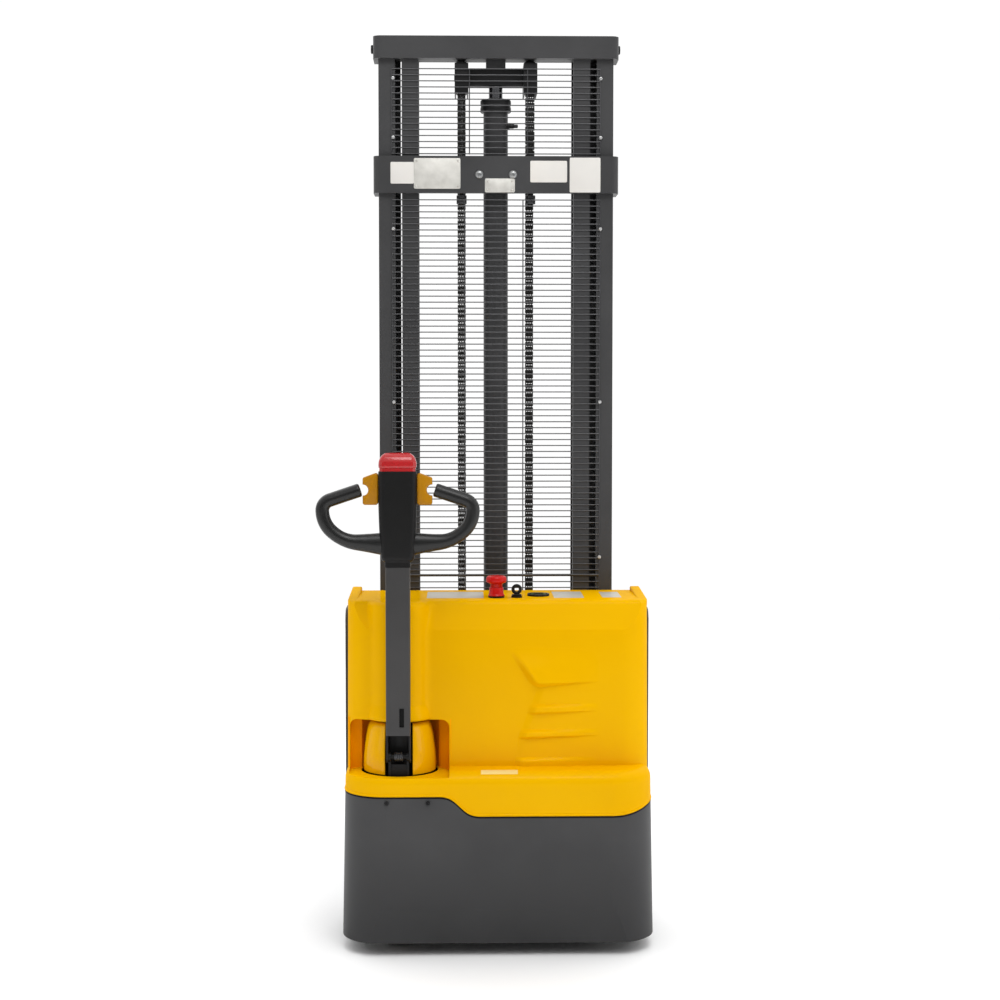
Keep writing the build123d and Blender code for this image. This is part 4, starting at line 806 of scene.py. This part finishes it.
# Plates on the tie beam: two blank alloy plates, each held by four rivets, and three blank paper labels
# stuck flat beside them.
plate_alloy = finish("blank_plate_alloy", ((198, 196, 190), (214, 212, 206)), (0.45, 0.55), drift=40,
                     metal=0.25, bump=0.04)
plate_corner = 4
plate_rings = ((0, -0.2), (0, 0.7), (0.4, 1))
plate_rows = (((-157, beam_face_y, 2007.5), (124, 81)), ((10, beam_face_y, 1976), (80, 37)))
rivet = ((0, 2.2), (1.5, 1.9), (2.6, 0.9), (2.8, 0), (0, 0))
rivet_inset = 7
rivet_out = 0.9
rivet_spots = [(x + side * (width / 2 - rivet_inset), y - rivet_out, z + end * (height / 2 - rivet_inset))
               for (x, y, z), (width, height) in plate_rows for side in (-1, 1) for end in (-1, 1)]
plates = joined(flat_plates(plate_rows, plate_corner, plate_rings, facing_rear),
                heads(rivet, rivet_spots, 16))
piece("blank_mast_plates", plates, plate_alloy, "machine", "aluminium")
sticker_paper = finish("blank_sticker", ((222, 219, 214), (232, 228, 221)), (0.4, 0.5), bump=0.03, shine=0.2)
mast_stickers = (((-250, beam_face_y, 2009), (62, 57)), ((140, beam_face_y, 2013), (98, 57)),
                 ((237, beam_face_y, 2004), (82, 92)))
mast_labels = flat_plates(mast_stickers, sticker_corner, sticker_rings, facing_rear)
piece("blank_mast_stickers", mast_labels, sticker_paper, "machine", "nylon")


# Guard: level steel wires spot-welded to an upright wire at each side and to two rods behind them, in
# dark grey paint, in a tall panel below the tie beam and a short one above it.
wire_radius = 1.5
wire_pitch = 16
wire_clear = 0.3
first_wire = 1.1
stiff_radius = 2.4
edge_radius = 1.3
edge_stand = 1.2
rod_radius = 1.5
rod_sunk = 0.5
guard_half_width = 278
guard_panels = {"guard_mesh_lower": (850, 69, (-84, 72), (934,)),
                "guard_mesh_upper": (2060, 15, (-71, 84), ())}
wire_paint = finish("guard_wire_paint", ((66, 66, 68), (80, 80, 82)), (0.35, 0.45), metal=0.3, bump=0.1)


def wire_rod(length, radius, sides=8):
    """A straight round wire along its own Z with its ends rounded over."""
    over = radius * (1 - np.cos(np.pi / 4))
    profile = ((0, 0), (radius - over, 0), (radius, over), (radius, length - over), (radius - over, length),
               (0, length))
    return turned(profile, sides)


def level_wires(radius, heights):
    """Wires across the guard, one at each height, just clear of the rails."""
    wire = stand(wire_rod(2 * guard_half_width, radius), (0, 0, 0), facing_right)
    spots = [(-guard_half_width, rail_rear - radius - wire_clear, height) for height in heights]
    return repeated(wire, spots)


for guard_name, (guard_low, wire_count, rod_places, stiff_heights) in guard_panels.items():
    heights = guard_low + first_wire + wire_pitch * np.arange(wire_count)
    wires = [level_wires(wire_radius, heights)]
    if stiff_heights:
        wires.append(level_wires(stiff_radius, stiff_heights))
    tall = heights[-1] - heights[0] + 2 * wire_radius
    low = heights[0] - wire_radius
    edge_spots = [(side * guard_half_width, rail_rear - edge_stand * edge_radius, low) for side in (-1, 1)]
    rod_spots = [(x, rail_rear + rod_radius - rod_sunk, low) for x in rod_places]
    wires.append(repeated(wire_rod(tall, edge_radius, 10), edge_spots))
    wires.append(repeated(wire_rod(tall, rod_radius, 10), rod_spots))
    piece(guard_name + "_wires", joined(*wires), wire_paint, "machine", "wire", guard_name)


# Lift cylinder: a painted steel barrel that stands on the mast's base, with a hard-chromed rod. A black gland
# is screwed on its end, with a bleed plug in its side below.
rod_chrome = finish("rod_hard_chrome", ((120, 121, 124), (140, 141, 143)), (0.2, 0.28), drift=30, metal=1.0,
                    bump=0.01)
barrel_coat = finish("barrel_dark_paint", ((54, 54, 55), (62, 62, 63)), (0.34, 0.44), bump=0.15, shine=0.32)
crosshead_black = finish("crosshead_black_paint", ((18, 18, 19), (26, 26, 27)), (0.35, 0.45), bump=0.15,
                         shine=0.3)
dress(barrel_coat, "lift_cylinder")
dress(rod_chrome, "piston_rod")
barrel_radius = 33
bleed_z = 2142
bleed_profile = ((0, -3), (9, -3), (9, 4), (6.5, 5), (6.5, 14), (3.6, 22), (3.2, 27), (0, 27))
gland_profile = ((33, 2177.6), (39.6, 2177.6), (41.2, 2179.4), (41.4, 2185), (41.2, 2190.8), (39.8, 2192.8),
                 (39.2, 2194), (39.8, 2195.2), (41.2, 2197.2), (41.4, 2203), (41.2, 2208.4), (39.4, 2210.6),
                 (36, 2211.4), (22, 2211.4))
bleed_plug = stand(turned(bleed_profile, 20), (barrel_radius, rail_middle, bleed_z), facing_right)
piece("bleed_plug", bleed_plug, crosshead_black, "machine", "steel")
gland_bands = stand(turned(gland_profile, 64, ring=True), (0, rail_middle, 0))
piece("gland_bands", gland_bands, crosshead_black, "machine", "steel")


# Chain crosshead: a black steel bar on the rod's end, with a folded yoke welded to each end of it. A flanged
# steel wheel for each chain turns on a pin through the yoke.
wheel_steel = finish("chain_wheel_steel", ((74, 74, 76), (98, 98, 100)), (0.35, 0.5), drift=20, metal=0.9,
                     bump=0.1)
dress(wheel_steel, "chain_wheels")
chain_x = 92
chain_axle_z = 2269.5
yoke_outline = ((73.7, 479), (73.7, 383), (110.3, 383), (110.3, 479), (106.3, 479), (106.3, 387),
                (77.7, 387), (77.7, 479))
yoke_rings = ((0.9, 2222), (0, 2222.9), (0, 2301.1), (0.9, 2302))
pin_profile = ((0, -19.6), (8.6, -19.6), (10, -18.2), (10, 18.2), (8.6, 19.6), (0, 19.6))
bar_outline = rounded_rectangle(44, 47, 5)
bar_rings = ((0.8, -74.4), (0, -73.6), (0, 73.6), (0.8, 74.4))
wheel_pin = stand(turned(pin_profile), (chain_x, rail_middle, chain_axle_z), facing_right)
right_yoke = joined(slab(yoke_outline, yoke_rings), wheel_pin)
crosshead_bar = stand(slab(bar_outline, bar_rings), (0, rail_middle, chain_axle_z), facing_right)
crosshead = joined(crosshead_bar, right_yoke, mirrored(right_yoke))
piece("crosshead_and_yokes", crosshead, crosshead_black, "inner_mast", "mast_paint", "chain_crosshead",
      crease=30)


# Inner mast: two lighter rolled channels with welded cross members, in charcoal paint. The rollers that carry
# it have worn the rails bright in upright streaks.
worn_coat = finish("inner_mast_paint", ((57, 57, 58), (64, 64, 65)), (0.36, 0.46), bump=0.15, shine=0.32,
                   wear=((92, 92, 94), 0.34, (60, 60, 1.5)))
roller_steel = finish("mast_roller_steel", ((96, 96, 98), (128, 128, 130)), (0.3, 0.4), drift=30, metal=1.0,
                      bump=0.1)
dress(worn_coat, "inner_rail_left", "inner_rail_right")
dress(mast_coat, "inner_crossmembers")
dress(roller_steel, "mast_rollers", "carriage_rollers_lower", "carriage_rollers_upper")


# Lift chains: two leaf chains of dark oiled plates on riveted pins, from the tie beam up over the wheels and
# down to the carriage, with lock nuts on their anchors. The rear run is made of nested sections, each a
# little slimmer than the one before.
chain_pitch = 12.7
chain_radius = 40.5
chain_front_links = 144
chain_rear_links = 18
chain_wrap_links = 10
plate_half = 5.5
plate_waist = 0.74
wide_pack = np.array((-3, -1, 1, 3))
narrow_pack = np.array((-2, 0, 2))
leaf_thickness = 2.9
leaf_step = 3.1
pin_radius = 2.6
pin_half = 11.2
mast_stroke = 1750
section_links = 16
section_slimming = 0.006
anchor_nut_low = 1929
anchor_nut_radius = 13.5
anchor_nut_rings = ((1.5, 0), (0, 1.2), (0, 11), (1.5, 12))
lock_nut_rings = ((1.5, 13), (0, 14.2), (0, 23), (1.5, 24))
chain_oiled = finish("oiled_chain_steel", ((22, 21, 20), (36, 35, 33)), (0.45, 0.6), drift=90, metal=0.2,
                     bump=0.1, shine=0.3)
dress(chain_oiled, "chain_anchors", "carriage_anchors")


def leaf_outline():
    """Outline of a link plate: a half circle round each pin hole, drawn in to a waist between them."""
    upper = plate_half * circle(np.linspace(0, np.pi, 7)) + (0, chain_pitch / 2)
    waist = plate_half * plate_waist
    return np.concatenate((upper, ((-waist, 0),), -upper, ((waist, 0),)))


def leaf_link(offsets):
    """One link: plates side by side at the offsets, with a pin through one end of the pack."""
    half = leaf_thickness / 2
    plate = slab(leaf_outline(), ((0, -half), (0, half)))
    pin = turned(((0, -pin_half), (pin_radius, -pin_half), (pin_radius, pin_half), (0, pin_half)), 8)
    link = joined(repeated(plate, surface(0, 0, offsets)), stand(pin, (0, chain_pitch / 2, 0)))
    return stand(link, (0, 0, 0), facing_right)


def chain(y, z, turn):
    """Links laid along a line of centres, wide and narrow packs in turn, each turned about X by its angle."""
    places = np.stack(np.broadcast_arrays(y, z, turn))
    runs = []
    for first, pack in enumerate((wide_pack, narrow_pack)):
        points, faces = leaf_link(pack * leaf_step)
        across, along, up = points.T
        link_y, link_z, link_turn = places[:, first::2, None]
        swung = surface(across, along * np.cos(link_turn) - up * np.sin(link_turn) + link_y,
                        along * np.sin(link_turn) + up * np.cos(link_turn) + link_z)
        runs.append((swung.reshape(-1, 3), copied_faces(faces, len(link_y), len(points))))
    return repeated(joined(*runs), ((-chain_x, 0, 0), (chain_x, 0, 0)))


front_y = rail_middle + chain_radius
front_z = chain_axle_z - chain_pitch * (np.arange(chain_front_links) + 0.5)
front_chain = piece("front_chains", chain(front_y, front_z, 0.0), chain_oiled, "inner_mast", "chain_steel",
                    "chain_front_runs")
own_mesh(front_chain)

rear_y = rail_middle - chain_radius
rear_z = chain_axle_z - chain_pitch * (np.arange(chain_rear_links) + 0.5)
rear_points, rear_faces = chain(rear_y, rear_z, 0.0)
rear_line = surface(np.sign(rear_points[:, 0]) * chain_x, rear_y, rear_points[:, 2])
section_shifts = np.append(np.arange(0, mast_stroke, chain_pitch * section_links), mast_stroke) / mast_stroke
section_turns = 0.5 - np.sin(np.arcsin(1 - 2 * section_shifts) / 3)
for place, share in enumerate(section_turns.tolist()):
    slimmer = rear_line + (rear_points - rear_line) * (1 - section_slimming * place)
    stands_for = ("chain_rear_runs",) if place == 0 else ()
    section = piece(f"rear_chain_section_{place}", (slimmer, rear_faces), chain_oiled, None, "chain_steel",
                    *stands_for)
    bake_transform(section)

wrap_turn = np.pi * (np.arange(chain_wrap_links) + 0.5) / chain_wrap_links
wrap_y = rail_middle + chain_radius * np.cos(wrap_turn)
wrap_z = chain_axle_z + chain_radius * np.sin(wrap_turn)
wheel_chains = chain(wrap_y, wrap_z, wrap_turn)
piece("wheel_chains", wheel_chains, chain_oiled, "inner_mast", "chain_steel", "chain_wraps")
nut_outline = anchor_nut_radius * hexagon
anchor_nuts = joined(slab(nut_outline, anchor_nut_rings), slab(nut_outline, lock_nut_rings))
anchor_spots = [(side * chain_x, rear_y, anchor_nut_low) for side in (-1, 1)]
piece("anchor_lock_nuts", repeated(anchor_nuts, anchor_spots), wheel_steel, "machine", "steel")


# Fork carriage and forks: welded plate in charcoal paint, carried by rollers in the inner mast. Pallets have
# rubbed the forks' tops bright.
fork_coat = finish("fork_paint", ((54, 54, 55), (61, 61, 62)), (0.4, 0.52), bump=0.2, shine=0.32,
                   wear=((108, 107, 106), 0.33, (26, 2, 26)))
dress(mast_coat, "fork_carriage")
dress(fork_coat, "fork_left", "fork_right")


# Tiller arm: a charcoal steel tube on two black clevis plates, which are pinned to the turret's bracket; the
# plates' black is in part painted shade for the arm's dark hollow. A black sheet behind the slot in its rear
# face is painted shadow for the dark inside of the tube, and a coil spring is wound round the pivot pin.
arm_coat = finish("tiller_arm_paint", ((54, 53, 53), (60, 59, 59)), (0.36, 0.46), bump=0.12)
dress(arm_coat, "tiller_arm")
pivot_y = 42
pivot_z = 505
clevis_out = 28.5
clevis_radius = 15.6
clevis_top = ((6.4, 565.6), (37.6, 565.6))
clevis_rings = ((0.4, -2.5), (0, -2.1), (0, 2.1), (0.4, 2.5))
shade_sheet_outline = rounded_rectangle(14, 50, 3)
shade_sheet_rings = ((0, -1), (0, 1))
shade_sheet_place = (steer_x + 9, 8.2, 610)
coil_turns = 5
coil_radius = 10
coil_wire = 1.9
coil_slack = 1.15

clevis_foot = clevis_radius * circle(np.linspace(0, -np.pi, 15)) + (pivot_y, pivot_z)
clevis_outline = np.concatenate((clevis_top, clevis_foot))[::-1]
clevis_plate = stand(slab(clevis_outline, clevis_rings), (0, 0, 0), facing_right)
# The clevis plates line the arm's hollow in black: real plates, whose black also stands in for the shade
# there.
clevis_plates_and_shade = repeated(clevis_plate, [(steer_x + side * clevis_out, 0, 0) for side in (-1, 1)])
piece("clevis_plates_and_shade", clevis_plates_and_shade, bracket_black, "tiller", "mast_paint")
# Painted shadow: a black sheet behind the slot, where the inside of the tube lies in shade.
slot_shade_sheet = stand(slab(shade_sheet_outline, shade_sheet_rings), shade_sheet_place, facing_rear)
piece("arm_slot_painted_shade", slot_shade_sheet, seal_and_shade_black, "tiller", "dark_plastic")


def pivot_spring():
    """The spring round the pivot pin: a round wire whose centre winds evenly about the pin while it moves
    across, and whose two ends are closed."""
    along = np.linspace(0, 1, 24 * coil_turns + 1)[:, None]
    wind = 2 * np.pi * coil_turns * along
    ring = full_turn(8)
    out = coil_radius + coil_wire * np.cos(ring)
    x = steer_x + 2 * coil_wire * coil_turns * (along - 0.5) * coil_slack + coil_wire * np.sin(ring)
    return tube(surface(x, pivot_y + out * np.cos(wind), pivot_z + out * np.sin(wind)))


piece("pivot_spring", pivot_spring(), wheel_steel, "drive_unit", "steel")


# Tiller head: a black plastic moulding, a little waisted towards the arm, on a short collar round the arm's
# end. Two small screws in its face hold its halves together.
head_y = 20
head_low = 1001
head_heights = (1001, 1075, 1229)
head_widths = (82, 91, 95.5)
head_depths = (42, 50, 52)
head_corner = 15
least_corner = 0.5
head_foot = (1001, 1001.9, 1004.5, 1008.4, 1013)
head_foot_inset = (12, 7.4, 3.5, 0.9, 0)
head_side = np.linspace(1018, 1220, 30)
head_rim = (1226, 1228.4, 1229, 1216)
head_rim_inset = (0, 0.4, 1.2, 1.7)
collar_outline = rounded_rectangle(64, 37, 5)
collar_rings = ((1, 988.5), (0, 989.5), (0, 1002))
head_screw_spots = ((-284.5, -6.2, 1194), (-221.5, -6.2, 1194))
head_screw = ((0, -0.6), (2, -0.6), (2.2, 0.5), (3.4, 0.4), (3.8, -0.3), (3.8, -2), (0, -2))
head_plastic = finish("head_black_plastic", ((14, 14, 14), (19, 18, 18)), (0.4, 0.5), grain=1400, bump=0.2,
                      shine=0.22)


def head_shell(heights, insets):
    """Rounded rectangles stacked up the head: width and depth follow the parabola through the head's three
    sections, drawn in on every side by the inset at that height."""
    heights = np.asarray(heights, float)[:, None]
    insets = np.asarray(insets, float)[:, None]
    half_x = np.polyval(np.polyfit(head_heights, head_widths, 2), heights) / 2 - insets
    half_y = np.polyval(np.polyfit(head_heights, head_depths, 2), heights) / 2 - insets
    radius = np.maximum(head_corner - insets, least_corner)
    quarter = (np.arange(4)[:, None] * np.pi / 2 + np.linspace(0, np.pi / 2, 8)).reshape(-1)
    sign_x = np.repeat((1, -1, -1, 1), 8)
    sign_y = np.repeat((1, 1, -1, -1), 8)
    x = steer_x + sign_x * (half_x - radius) + radius * np.cos(quarter)
    y = head_y + sign_y * (half_y - radius) + radius * np.sin(quarter)
    return tube(surface(x, y, heights))


head_rise = np.concatenate((head_foot, head_side, head_rim))
head_inset = np.concatenate((head_foot_inset, np.zeros(len(head_side)), head_rim_inset))
head_body = head_shell(head_rise, head_inset)
piece("tiller_head_shell", head_body, head_plastic, "tiller", "dark_plastic", "tiller_head")
head_collar = stand(slab(collar_outline, collar_rings), (steer_x, head_y, 0))
piece("tiller_head_collar", head_collar, head_plastic, "tiller", "dark_plastic")
head_screws = heads(head_screw, head_screw_spots, 20)
piece("tiller_head_screws", head_screws, black_steel, "tiller", "steel")


# Belly button: a glossy red moulding with a domed end that stands out of the head. It slides on springs when
# a walker's body presses it in.
cap_red = finish("cap_red_gloss", ((168, 22, 26), (182, 27, 31)), (0.14, 0.2), bump=0.02, coat=0.4)
cap_foot = 1224.6
cap_step = 1237.4
cap_shoulder = 1246
cap_top = 1275
cap_neck = 2.4
cap_dome = 23
dome_power = 2.1
cap_up = np.sin(np.linspace(0, np.pi / 2, 24))
cap_rise = np.concatenate(((cap_foot, cap_step - 0.4, cap_step, cap_step + 1.4, cap_shoulder - 2),
                           cap_shoulder + (cap_top - cap_shoulder) * cap_up))
cap_inset = np.concatenate(((cap_neck, cap_neck, cap_neck - 0.8, 0.4, 0),
                            cap_dome * (1 - (1 - cap_up ** dome_power) ** (1 / dome_power))))
piece("belly_cap", head_shell(cap_rise, cap_inset), cap_red, "belly_switch", "red_plastic", "belly_button")


# Grips: a loop of soft black plastic moulded on at each side of the head, thick at its root and round along
# the hand. Its far end is cut flat with a rounded edge.
grip_points = ((40, 46), (135, 52), (185.6, 95), (189.6, 149), (93, 181.5))
grip_bends = (100, 70, 27)
grip_radius = 17.2
grip_root = (28, 18)
grip_root_length = 110
grip_swell_power = 1.5
grip_edge = 5
grip_plastic = finish("grip_soft_plastic", ((14, 14, 14), (19, 19, 19)), (0.28, 0.38), grain=1600, bump=0.2,
                      shine=0.45)


def rounded_path(corners, radii):
    """A run of straight lines with round bends: each corner becomes an arc that leaves the line before it at
    the tangent length and turns by its radius until it meets the line after it."""
    corners = np.asarray(corners, float)
    before = corners[1:-1] - corners[:-2]
    after = corners[2:] - corners[1:-1]
    before /= np.linalg.norm(before, axis=1, keepdims=True)
    after /= np.linalg.norm(after, axis=1, keepdims=True)
    radii = np.asarray(radii, float)[:, None]
    cosine = np.sum(before * after, axis=1, keepdims=True)
    bend = np.arccos(cosine)
    side = after - cosine * before
    side /= np.linalg.norm(side, axis=1, keepdims=True)
    start = corners[1:-1] - before * radii * np.tan(bend / 2)
    turn = (bend * np.linspace(0, 1, 16))[:, :, None]
    swing = np.sin(turn) * before[:, None] + (1 - np.cos(turn)) * side[:, None]
    arcs = start[:, None] + radii[:, :, None] * swing
    return np.concatenate((corners[:1], arcs.reshape(-1, 2), corners[-1:]))


def grip_tube(side):
    """An oval carried along the grip's path: its height and depth shrink from the root to the round grip, and
    the far end is flat with a rounded edge."""
    path = rounded_path(grip_points, grip_bends)
    length = np.concatenate(((0,), np.cumsum(np.linalg.norm(np.diff(path, axis=0), axis=1))))
    over = np.linspace(0, np.pi / 2, 7)[1:]
    along = np.concatenate((np.linspace(0, length[-1] - grip_edge, 80),
                            length[-1] - grip_edge * (1 - np.sin(over))))
    x = np.interp(along, length, path[:, 0])
    rise = np.interp(along, length, path[:, 1])
    slope_x = np.gradient(x, along)
    slope_z = np.gradient(rise, along)
    size = np.hypot(slope_x, slope_z)
    swell = np.clip(1 - along / grip_root_length, 0, 1) ** grip_swell_power
    over = np.clip((along - length[-1] + grip_edge) / grip_edge, 0, 1)
    drawn_in = grip_edge * (1 - np.sqrt(1 - over ** 2))
    high = grip_radius + (grip_root[0] - grip_radius) * swell - drawn_in
    deep = grip_radius + (grip_root[1] - grip_radius) * swell - drawn_in
    turn = full_turn(28)
    out = high[:, None] * np.cos(turn)
    points_x = x[:, None] - (slope_z / size)[:, None] * out
    points_y = deep[:, None] * np.sin(turn)
    points_z = rise[:, None] + (slope_x / size)[:, None] * out
    return tube(surface(steer_x + side * points_x, head_y + points_y, head_low + points_z))


piece("left_grip_loop", grip_tube(-1), grip_plastic, "tiller", "dark_plastic", "grip_left")
piece("right_grip_loop", grip_tube(1), grip_plastic, "tiller", "dark_plastic", "grip_right")


# Throttle: an amber butterfly, two moulded thumb wings on one shaft through the head. Each wing has a round
# notch for the thumb.
throttle_z = 1186
wing_inner = 48.6
wing_outer = 87
wing_half = 41
wing_slope = 14
wing_depth = 22
wing_round = 6
wing_notch = 14
wing_notch_z = -4
wing_edge = ((3, 0), (1, 0.7), (0.2, 2), (0, 3.5))
shaft_profile = ((0, -54), (8, -54), (8, 54), (0, 54))
throttle_amber = finish("throttle_amber_plastic", ((172, 116, 8), (184, 126, 10)), (0.25, 0.35), bump=0.06,
                        shine=0.2)


def corner_arcs(corners, radius, steps=7):
    """The round corners of a closed outline: for each corner, the arc between its two tangent points."""
    corners = np.asarray(corners, float)
    loop = np.concatenate((corners[-1:], corners, corners[:1]))
    arcs = rounded_path(loop, np.full(len(corners), radius))[1:-1].reshape(len(corners), -1, 2)
    return arcs[:, np.linspace(0, arcs.shape[1] - 1, steps).astype(int)]


wing_corners = ((wing_inner, -wing_half), (wing_outer, -wing_half), (wing_outer, wing_half - wing_slope),
                (wing_inner, wing_half))
wing_arcs = corner_arcs(wing_corners, wing_round)
notch = wing_notch * circle(np.linspace(-np.pi / 2, -1.5 * np.pi, 15)) + (wing_outer, wing_notch_z)
wing_outline = np.concatenate((wing_arcs[:2].reshape(-1, 2), notch, wing_arcs[2:].reshape(-1, 2)))
wing_rings = wing_edge + tuple((inset, wing_depth - height) for inset, height in wing_edge[::-1])
wing = stand(slab(wing_outline, wing_rings), (0, wing_depth / 2, 0), facing_rear)
shaft = stand(turned(shaft_profile, 24), (0, 0, 0), facing_right)
throttle = stand(joined(wing, mirrored(wing), shaft), (steer_x, head_y, throttle_z))
piece("throttle_wings", throttle, throttle_amber, "throttle", "throttle_amber", "throttle_butterfly")


# Head buttons: three round push buttons on the far face of the head, for lifting, lowering and the horn. Two
# are moulded in grey plastic and one in red.
button_grey = finish("button_grey_plastic", ((86, 88, 90), (98, 100, 102)), (0.35, 0.45), bump=0.08)
dress(button_grey, "lift_button", "lower_button")
dress(cap_red, "horn_button")


# Emergency stop: a red plastic mushroom on a stem that slides in a collar. Its switch body and those of the
# key and the gauge are black units let into the top panel.
stop_place = (-3, 190, 0)
stop_red = finish("stop_red_plastic", ((190, 14, 10), (204, 18, 13)), (0.25, 0.33), bump=0.04, coat=0.12,
                  shine=0.2)
knob_profile = ((0, 907), (15, 907), (15.6, 908), (15.6, 926), (16.6, 929), (20, 931), (24.6, 932.6),
                (26.2, 934.6), (26.6, 938), (26.6, 942), (25.8, 945.6), (23.4, 948.6), (19.5, 950),
                (12, 949.4), (0, 949.2))
stem_profile = ((0, 866), (10.6, 866), (10.6, 908), (0, 908))
collar_profile = ((16.2, 898.1), (21.2, 898.1), (21.4, 899.4), (19.6, 902), (18.6, 906), (18.2, 919),
                  (17.7, 919.8), (16.7, 919.8), (16.2, 919.2), (16.2, 898.1))
mushroom = stand(joined(turned(knob_profile, 48), turned(stem_profile, 24)), stop_place)
piece("stop_mushroom", mushroom, stop_red, "emergency_stop", "red_plastic", "estop_button")
piece("stop_collar", stand(turned(collar_profile, 48), stop_place), stop_red, "machine", "red_plastic")
dress(motor_black, "panel_fittings")


# Key switch: a black plastic key in a round lock beside the emergency stop. Its bow is a moulded ring that
# stands upright on a short stem.
key_place = (50, 190, 0)
key_bow_z = 914.4
key_bow_radius = 9.6
key_bow_section = (4.2, 2.6)
key_stem_profile = ((0, 898.4), (12.2, 898.4), (12.6, 899), (12.6, 900.8), (11.8, 901.6), (5, 901.8),
                    (4.4, 902.4), (4.4, 905), (0, 905))


def key_bow():
    """The ring of the key: an oval section, taller than it is thick, carried once round a circle that stands
    upright on the key's stem."""
    round_bow = full_turn(40)[:, None]
    section = full_turn(16)
    out = key_bow_radius + key_bow_section[0] * np.cos(section)
    points = surface(out * np.cos(round_bow), key_bow_section[1] * np.sin(section), out * np.sin(round_bow))
    return points.reshape(-1, 3), grid_quads(40, 16, wrap_rows=True, wrap_columns=True)


key = stand(joined(stand(key_bow(), (0, 0, key_bow_z)), turned(key_stem_profile, 40)), key_place)
piece("key_and_bow", key, motor_black, "key", "dark_plastic", "key_knob")


# Battery gauge: a round black gauge let into the top panel. Its raised bezel goes round a ring of nine small
# green bars.
gauge_x = 108
gauge_y = 232
gauge_top = 898
bezel_profile = ((29, -0.6), (28.8, 0.4), (27.6, 1), (25.4, 1), (24.4, 0.3), (24.2, -0.2), (29, -0.6))
gauge_bar_radius = 17
gauge_bar_turns = np.linspace(radians(200), radians(-20), 9)
gauge_bar = slab(rounded_rectangle(3.6, 7, 0.8, 3), ((0, -0.3), (0, 0.25), (0.3, 0.4)))
gauge_green = finish("gauge_bar_green", ((46, 84, 44), (58, 98, 54)), (0.3, 0.4), drift=60, bump=0.02)
bezel = stand(turned(bezel_profile, 64), (gauge_x, gauge_y, gauge_top))
piece("gauge_bezel", bezel, black_steel, "machine", "dark_plastic")
bars = []
for across, up in circle(gauge_bar_turns).tolist():
    bar_place = (gauge_x + gauge_bar_radius * across, gauge_y + gauge_bar_radius * up, gauge_top)
    bars.append(stand(gauge_bar, bar_place, ((up, -across, 0), (across, up, 0), (0, 0, 1))))
piece("gauge_bars", joined(*bars), gauge_green, "machine", "dark_plastic")
